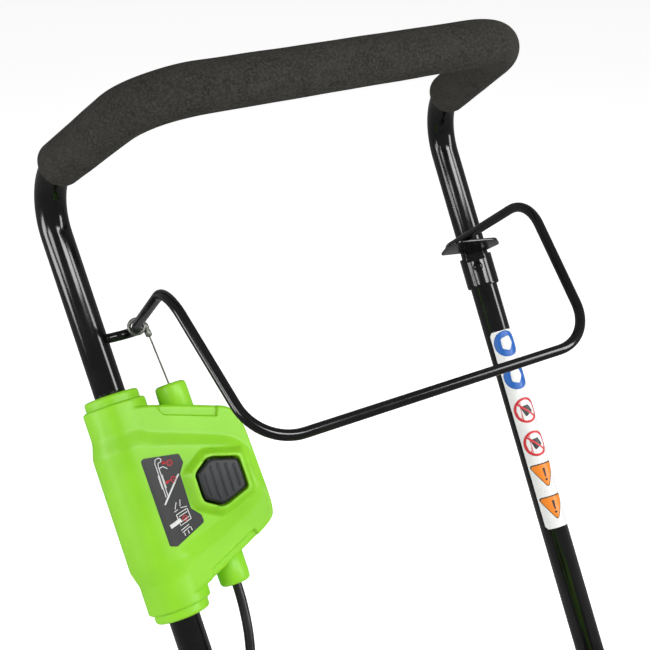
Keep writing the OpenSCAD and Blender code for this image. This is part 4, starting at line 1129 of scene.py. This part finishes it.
def leadPiece(name, points, node):
    # a round section along a smooth curve through the points, which are in metres
    path = Path(smoothPath(points / mm, 5))
    piece = sweep(name, path, path.s, np.full(len(path.s), lead["radius"]), lambda p: p * mm, 24)
    return fit(piece, None, "lead", node)


def routeOnLeg(route):
    # a route with x inward from the left leg, in metres
    return onLeg(-1, np.asarray(route, float) * [-1, 1, 1])


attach(leadPiece("lead_upper_skin", routeOnLeg(leadUpper), "lead_upper"), "upper_handle")
foldStart, foldEnd = routeOnLeg([leadFold[-3], leadFold[2]])
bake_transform(leadPiece("lead_fold_skin", routeOnLeg(leadFold), "lead_fold_loop"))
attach(leadPiece("lead_lower_skin", routeOnLeg(leadLower), "lead_lower"), "lower_handle")
deckRoute = np.concatenate([routeOnLeg([[6, 66, 16.2], [6, 57, 16.2]]), hinge + np.array(leadDeck) * mm])
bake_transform(leadPiece("lead_deck_skin", deckRoute, "lead_deck_loop"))
print("switch lead")

# Deck
# The deck's frame: x across, y back from the wheel axle, z above the ground.
axle = np.array(joints["left_wheel_spin"]["pos_m"])


def onGround(p):
    # millimetres in the deck's frame to metres
    return np.asarray(p, float) * mm + [0, axle[1], 0]


def ringTurned(name, profile, centre, place, sides, swing=None):
    # a closed profile of (x, radius) turned about a line along x; swing moves x and the radius
    profile = np.asarray(profile, float)
    turn = np.linspace(0, 2 * math.pi, sides, endpoint=False)[None]
    x, r = profile[:, :1] + 0 * turn, profile[:, 1:] + 0 * turn
    if swing is not None:
        x, r = swing(x, r, turn)
    grid = np.stack([x, centre[0] + r * np.cos(turn), centre[1] + r * np.sin(turn)], -1)
    faces = gridFaces(len(profile) + 1, sides) % (len(profile) * sides)
    return sharpen(makePiece(name, place(grid), [faces]), 40)


def xPrism(points):
    # slab coordinates (y, z, x) turned into the deck's x, y, z
    return onGround(np.stack([points[..., 2], points[..., 0], points[..., 1]], -1))


wheel = {
    "radius": 120.0, "inner": 98.0, "from": 215.0, "wide": 44.0, "tread": 2.4, "blocks": 44, "skew": 0.16,
    "rim": 92.0, "boss": 20.0, "bore": 8.3, "disc": (19.5, 24.5), "spokes": 6, "spokeHigh": 7.0,
}


def tyreSkin(side):
    # blocks: the outer band is lowered between the blocks, whose edges lean with distance from the middle
    w, top, low = wheel["wide"], wheel["radius"], wheel["inner"]
    band = np.linspace(6, w - 6, 27)
    profile = np.concatenate([
        [(0.8, low), (0.0, low + 0.8), (0.0, top - 7), (1.2, top - 3), (3.4, top - 0.8)],
        np.column_stack([band, np.full(27, top)]),
        [(w - 3.4, top - 0.8), (w - 1.2, top - 3), (w, top - 7), (w, low + 0.8), (w - 0.8, low)],
    ])

    def swing(x, r, turn):
        off = (x - w / 2) / w
        wave = np.cos(wheel["blocks"] * (turn + wheel["skew"] * np.abs(off)) + np.pi * (off > 0))
        groove = np.clip(1.6 * wave - 0.9, 0, 0.6) / 0.6
        centre = ease(1.6 - np.abs(off) * w / 1.6)
        cut = wheel["tread"] * np.maximum(groove, centre) * (r > top - 1)
        return side * (x + wheel["from"]), r - cut
    return ringTurned("tyre", profile, (0, axle[2] / mm), onGround, 528 if fullDetail else 264, swing)


def hubSkin(side):
    # rim, dished disc and boss in one turned section, with spokes raised on the disc's outer face
    w, d = wheel["wide"], wheel["disc"]
    rim, boss, bore, low = wheel["rim"], wheel["boss"], wheel["bore"], wheel["inner"] - 0.15
    outer = np.array([
        (0, bore), (0, boss), (d[0], boss + 1), (d[0], rim - 1), (0, rim + 1), (0, low),
        (w, low), (w, rim + 1), (d[1], rim - 1), (d[1], boss + 1), (w, boss), (w, bore),
    ])
    corner = [0.6, 1.5, 3, 3, 1, 0.6, 0.6, 1.2, 3, 3, 1.5, 0.6]
    profile = roundOutline(outer, corner, 18.0)
    face = np.column_stack([np.full(9, d[1]), np.linspace(rim - 6, boss + 6, 9)])
    cutAt = np.argmin(np.abs(profile - [d[1], boss + 4]).sum(1))
    profile = np.concatenate([profile[:cutAt], face, profile[cutAt:]])

    def swing(x, r, turn):
        spoke = np.clip(0.5 + 2.2 * (np.cos(wheel["spokes"] * turn) - 0.72), 0, 1)
        on = (np.abs(x - d[1]) < 0.05) * ease((r - boss - 3) / 4) * ease((rim - 3 - r) / 4)
        return side * (x + wheel["spokeHigh"] * spoke * on + wheel["from"]), r
    return ringTurned("hub", profile, (0, axle[2] / mm), onGround, 288 if fullDetail else 144, swing)


for side, name in ((-1, "left"), (1, "right")):
    fit(tyreSkin(side), name + "_wheel", "tyre", name + "_tyre").name = name + "_tyre_skin"
    fit(hubSkin(side), name + "_wheel", "green_plastic", name + "_hub").name = name + "_hub_skin"
print("wheels")


def cut(piece, *tools, how="DIFFERENCE"):
    # cuts the piece with each tool, applies the result and removes the tools
    for tool in tools:
        change = piece.modifiers.new("cut", "BOOLEAN")
        change.operation, change.solver, change.object = how, "MANIFOLD", tool
    bpy.context.view_layer.update()
    shaped = bpy.data.meshes.new_from_object(piece.evaluated_get(bpy.context.evaluated_depsgraph_get()))
    piece.modifiers.clear()
    piece.data = shaped
    for tool in tools:
        bpy.data.objects.remove(tool)
    return piece


def boxPiece(x, y, z, edge=0.0):
    # a block between two distances on each axis, with rounded edges where edge is given
    outline = np.array([(y[0], z[0]), (y[1], z[0]), (y[1], z[1]), (y[0], z[1])], float)
    if edge:
        return slab("tool", roundOutline(outline, edge), x[0], x[1], edge * 0.8, xPrism)
    grid = np.array([[(p[0], p[1], h) for p in outline] for h in x])
    return loopSolid("tool", xPrism(grid), False)


def drumPiece(x, centre, radius):
    # a drum along x, used as a cutter
    sides = 96
    outline = circle(*centre, radius, sides + 1)[:-1]
    rings = [np.column_stack([outline, np.full(sides, h)]) for h in x]
    return loopSolid("tool", xPrism(np.array(rings)))


hood = {
    "outline": [
        (-124, 175.64), (-96, 217.64), (-52, 249.64), (0, 261.64), (60, 251.64), (108, 225.64),
        (118, 205.64), (118, 100),
    ],
    "bend": [7, 50, 70, 90, 90, 22, 14, 7], "half": 183.0, "wall": 3.0, "edge": 6.0,
    "lid": (26.0, 112.0), "lidHalf": 66.0, "gap": 0.4, "reel": (-78, 107.64), "reelSweep": 76.2,
    "motor": (-12, 207.64), "motorHole": 33.0, "key": (120.0, 84.0), "keyHole": 9.9, "hinge": (24.0, 262.64),
}


def hoodSection(distance):
    # the hood's side view, rounded along its ridge, and open to the front and the ground when hollowed
    outline = roundOutline(hood["outline"], hood["bend"], 4.0)
    if distance == 0:
        return outline
    inner = inset(outline, distance)
    top = inner[(inner[:, 1] > 177) & (inner[:, 0] < 114.8)]
    top = top[np.argsort(top[:, 0])]
    return np.concatenate([top, [(114.8, 30.0), (-220.0, 30.0), (-220.0, top[0, 1])]])


def hoodShell():
    # the outer form less its inside, the lid's opening, the reel's sweep and the axle's and motor's openings
    half, wall, edge = hood["half"], hood["wall"], hood["edge"]
    shell = slab("hood_skin", hoodSection(0), -half, half, edge, xPrism)
    inside = slab("tool", hoodSection(wall), wall - half, half - wall, edge - wall, xPrism)
    lid = boxPiece((-hood["lidHalf"], hood["lidHalf"]), hood["lid"], (160, 300))
    reel = drumPiece((-200, 200), hood["reel"], hood["reelSweep"])
    motor = drumPiece((-190, -170), hood["motor"], hood["motorHole"])
    sides = [boxPiece(x, (-40, 40), (60, 160)) for x in ((-190, -179.5), (179.5, 190))]
    hole = [(0, hood["keyHole"]), (90, hood["keyHole"])]
    keyHole = turned("tool", [*hood["key"], 190], [0, 0, 1], hole, onGround, 48)
    shell = cut(shell, inside, lid, reel, motor, keyHole, *sides)
    boss = roundOutline([(5.3, 209.6), (10.0, 209.6), (10.0, 247.6), (5.3, 247.6)], [0.4, 0.4, 1.6, 1.0])
    turn = np.linspace(0, 2 * math.pi, 56, endpoint=False)[None]
    ring = np.stack([hood["key"][0] + boss[:, :1] * np.cos(turn), hood["key"][1] + boss[:, :1] * np.sin(turn),
                     boss[:, 1:] + 0 * turn], -1)
    boss = makePiece("boss", onGround(ring), [gridFaces(len(boss) + 1, 56) % (len(boss) * 56)])
    knuckle = roundOutline([(46, 1.75), (56, 1.75), (56, 4), (46, 4)], 0.5)
    ears = [ringTurned("ear", knuckle * [s, 1], hood["hinge"], onGround, 40) for s in (-1, 1)]
    feet = [boxPiece(x, (18, 23.5), (253, 261.5), 1.0) for x in ((46, 56), (-56, -46))]
    return fit(sharpen(joined("hood_skin", [shell, boss] + ears + feet), 32), "deck", "green_plastic", "hood")


def batteryLid():
    # the same section as the hood, kept between the opening's edges, with grip ridges and two hinge barrels
    half, gap = hood["lidHalf"], hood["gap"]
    lid = slab("lid", hoodSection(0), gap - half, half - gap, 0.6, xPrism)
    inside = slab("tool", hoodSection(hood["wall"]), -half - 5, half + 5, 0.5, xPrism)
    lid = cut(cut(lid, inside), boxPiece((-80, 80), (hood["lid"][0] + gap, hood["lid"][1] - gap), (160, 300)),
              how="INTERSECT")
    barrel = roundOutline([(-7.5, 2.05), (7.5, 2.05), (7.5, 3.8), (-7.5, 3.8)], 0.5)
    barrels = [ringTurned("barrel", barrel + [x, 0], hood["hinge"], onGround, 40) for x in (-38, 38)]
    arms = [boxPiece((x - 7.5, x + 7.5), (25.5, 33), (255.4, 261.6), 0.8) for x in (-38, 38)]
    ridges = [boxPiece((-34, 34), (y - 1.4, y + 1.4), (z - 3, z + 1.6), 1.1)
              for y, z in ((90, 236.4), (96, 233.2), (102, 229.9))]
    piece = sharpen(joined("battery_lid_skin", [lid] + barrels + arms + ridges), 32)
    return fit(piece, "lid", "black_plastic", "battery_lid")


hoodShell()
batteryLid()
print("hood and lid")

keyHead = boxPiece((116, 124), (74, 94), (248.2, 263.1), 1.8)
keyStem = turned("stem", [*hood["key"], 212.7], [0, 0, 1], [(0, 3.6), (0.9, 4.8), (36.4, 5.0)], onGround, 40)
fit(joined("safety_key_skin", [keyHead, keyStem]), "key", "key_plastic", "safety_key")

reel = {"radius": 68.0, "depth": 14.0, "thick": 3.0, "wide": 360.0, "blades": 5, "twist": 70.0, "steps": 61,
        "at": (-78, 107.64)}


def reelBlades():
    # a flat bar with ground edges carried round the reel's axis, turning evenly along it
    r1, r0, t = reel["radius"] - 0.02, reel["radius"] - reel["depth"], reel["thick"] / 2
    section = roundOutline([(r0, -t), (r1, -t), (r1, t), (r0, t)], [0.6, 0.25, 0.25, 0.6], 30.0)
    h = np.linspace(0, 1, reel["steps"])
    made = []
    for k in range(reel["blades"]):
        turn = np.radians(360 * k / reel["blades"] - reel["twist"] * h)[:, None]
        a = section[None, :, 0] * np.cos(turn) - section[None, :, 1] * np.sin(turn)
        b = section[None, :, 0] * np.sin(turn) + section[None, :, 1] * np.cos(turn)
        x = (h[:, None] - 0.5) * reel["wide"] + 0 * a
        made.append(loopSolid("blade", onGround(np.stack([x, reel["at"][0] + b, reel["at"][1] - a], -1))))
    return fit(sharpen(joined("reel_blades_skin", made), 30), "reel", "blade_steel", "reel_blades")


reelBlades()
rollerEnds = roundOutline([(-166, 4.3), (166, 4.3), (166, 25), (-166, 25)], [0.6, 0.6, 3.5, 3.5], 15.0)
rollerSkin = ringTurned("rear_roller_skin", rollerEnds, (135, 25), onGround, 96)
fit(rollerSkin, "rear_roller", "roller_plastic", "roller")
print("reel and roller")

# Lower handle
for side, name in ((-1, "left"), (1, "right")):
    leg = Path([[0, -12.0, 0], [0, 295.0, 0]])
    skin = pipe(
        name + "_lower_skin", leg, handle["tubeRadius"], handle["tubeBore"],
        lambda p, side=side: onLeg(side, p),
    )
    fit(skin, "lower_handle", "gloss_paint", "lower_tube_" + name)
brace = {"up": 120.0, "radius": 9.5, "half": hingeHalf + 120.0 * sinSplay - 11.6}
bracePath = Path([[side * brace["half"], brace["up"] * cosSplay, 0] for side in (-1, 1)])
braceSkin = sweep(
    "lower_brace_skin", bracePath, [0, 0.3, bracePath.length - 0.3, bracePath.length],
    brace["radius"] - np.array([0.3, 0, 0, 0.3]), onHandle, 48,
)
fit(braceSkin, "lower_handle", "gloss_paint", "lower_brace")

knob = {"from": 17.2, "lobes": 6, "lobeDepth": 0.21, "bore": 4.3}


def foldKnob(side):
    # collar, then a star of six rounded lobes: the outer radius dips between the lobes
    start = hingeHalf + handle["foldUp"] * sinSplay + knob["from"]
    profile = [
        (0, knob["bore"]), (0, 9.2), (0.8, 10), (6, 10.4), (6.4, 17.5), (7.4, 18.7), (9, 19), (15, 19),
        (17, 18.4), (18, 16.8), (18.4, 12), (18.5, 6), (18.5, 1.2), (14, 1.0), (14, knob["bore"]),
    ]

    def swing(x, r, turn):
        dip = 0.5 - 0.5 * np.cos(knob["lobes"] * turn)
        return side * (x + start), r * (1 - knob["lobeDepth"] * ease(dip * 1.25 - 0.2) * (r > 12))
    return ringTurned("knob", profile, (0, 0), lambda p: p * mm + [0, foldPoint[1], foldPoint[2]], 144, swing)


for side, name in ((-1, "left"), (1, "right")):
    fit(foldKnob(side), name + "_knob", "black_plastic", "fold_knob_" + name).name = name + "_knob_skin"
print("lower handle and knobs")

# Stage and camera
camera = {"lens": 58.26, "at": (-193.83, -97.84, 843.45), "azimuth": -29.3, "elevation": 29.8}
eye = onHandle(np.array(camera["at"]) + [-handle["halfWidth"], bailY, 0])
lensData = bpy.data.cameras.new("camera")
lensData.lens = camera["lens"]
lensData.sensor_width = 36
lensData.clip_start = 0.01
cameraObject = bpy.data.objects.new("camera", lensData)
cameraObject.location = eye
cameraObject.rotation_euler = (math.radians(90 - camera["elevation"]), 0, math.radians(camera["azimuth"]))
bpy.context.scene.collection.objects.link(cameraObject)
bpy.context.scene.camera = cameraObject


def paleGlow(name, strength):
    # matt white that also shines a little by itself
    f = Finish(name)
    f.set(Base_Color=(0.9, 0.9, 0.9), Roughness=0.9 + 0.05 * f.noise(2), Specular_IOR_Level=0.0)
    return f.set(Emission_Color=(1.0, 1.0, 1.0), Emission_Strength=strength)


def stageFloor():
    # a wide floor, flat and pale
    size = 14.0
    points = [(-size, -size, 0), (size, -size, 0), (size, size, 0), (-size, size, 0)]
    mesh = bpy.data.meshes.new("floor")
    mesh.from_pydata(points, [], [(0, 1, 2, 3)])
    floor = bpy.data.objects.new("floor", mesh)
    bpy.context.scene.collection.objects.link(floor)
    mesh.materials.append(paleGlow("paleFloor", 0.72))
    floor.visible_glossy = False    # black paint mirrors the dim studio and not the floor


def softLight(name, place, width, height, power):
    # a rectangular panel that faces the handle
    data = bpy.data.lights.new(name, "AREA")
    data.energy = power
    data.shape = "RECTANGLE"
    data.size = width
    data.size_y = height
    light = bpy.data.objects.new(name, data)
    light.location = place
    direction = np.array(lightAim) - np.array(place)
    light.rotation_mode = "QUATERNION"
    light.rotation_quaternion = Vector(direction).to_track_quat("-Z", "Y")
    bpy.context.scene.collection.objects.link(light)


def paleDome():
    # a plain bright backdrop round the whole floor, seen by the camera only
    up, turn = np.linspace(0, math.pi / 2, 24)[:, None], np.linspace(0, 2 * math.pi, 64, endpoint=False)[None]
    grid = 13.5 * np.stack([np.cos(up) * np.cos(turn), np.cos(up) * np.sin(turn), np.sin(up) + 0 * turn], -1)
    dome = loopSolid("backdrop", grid - [0, 0, 0.02])
    dome.data.materials.append(paleGlow("paleDome", 1.0))
    dome.visible_glossy = dome.visible_diffuse = dome.visible_shadow = False


stageFloor()
paleDome()
lights = {
    # name: place, width, height, power
    "front": ((0.20, -0.98, 2.20), 0.80, 0.55, 18.0),
    "right": ((1.35, -0.98, 1.60), 0.50, 1.50, 24.0),
    "leftLow": ((-1.65, 0.50, 0.92), 0.75, 0.40, 9.0),
    "leftHigh": ((-1.65, -0.20, 1.65), 0.55, 0.50, 8.0),
}
lightAim = (-0.05, 0.32, 0.75)
for name, (place, width, height, power) in lights.items():
    softLight(name, place, width, height, power)
world = bpy.data.worlds.new("studio")
world.use_nodes = True
world.node_tree.nodes["Background"].inputs[0].default_value = (1, 1, 1, 1)
world.node_tree.nodes["Background"].inputs[1].default_value = 0.22
bpy.context.scene.world = world
bpy.context.scene.view_settings.view_transform = "Standard"
print("stage and camera")
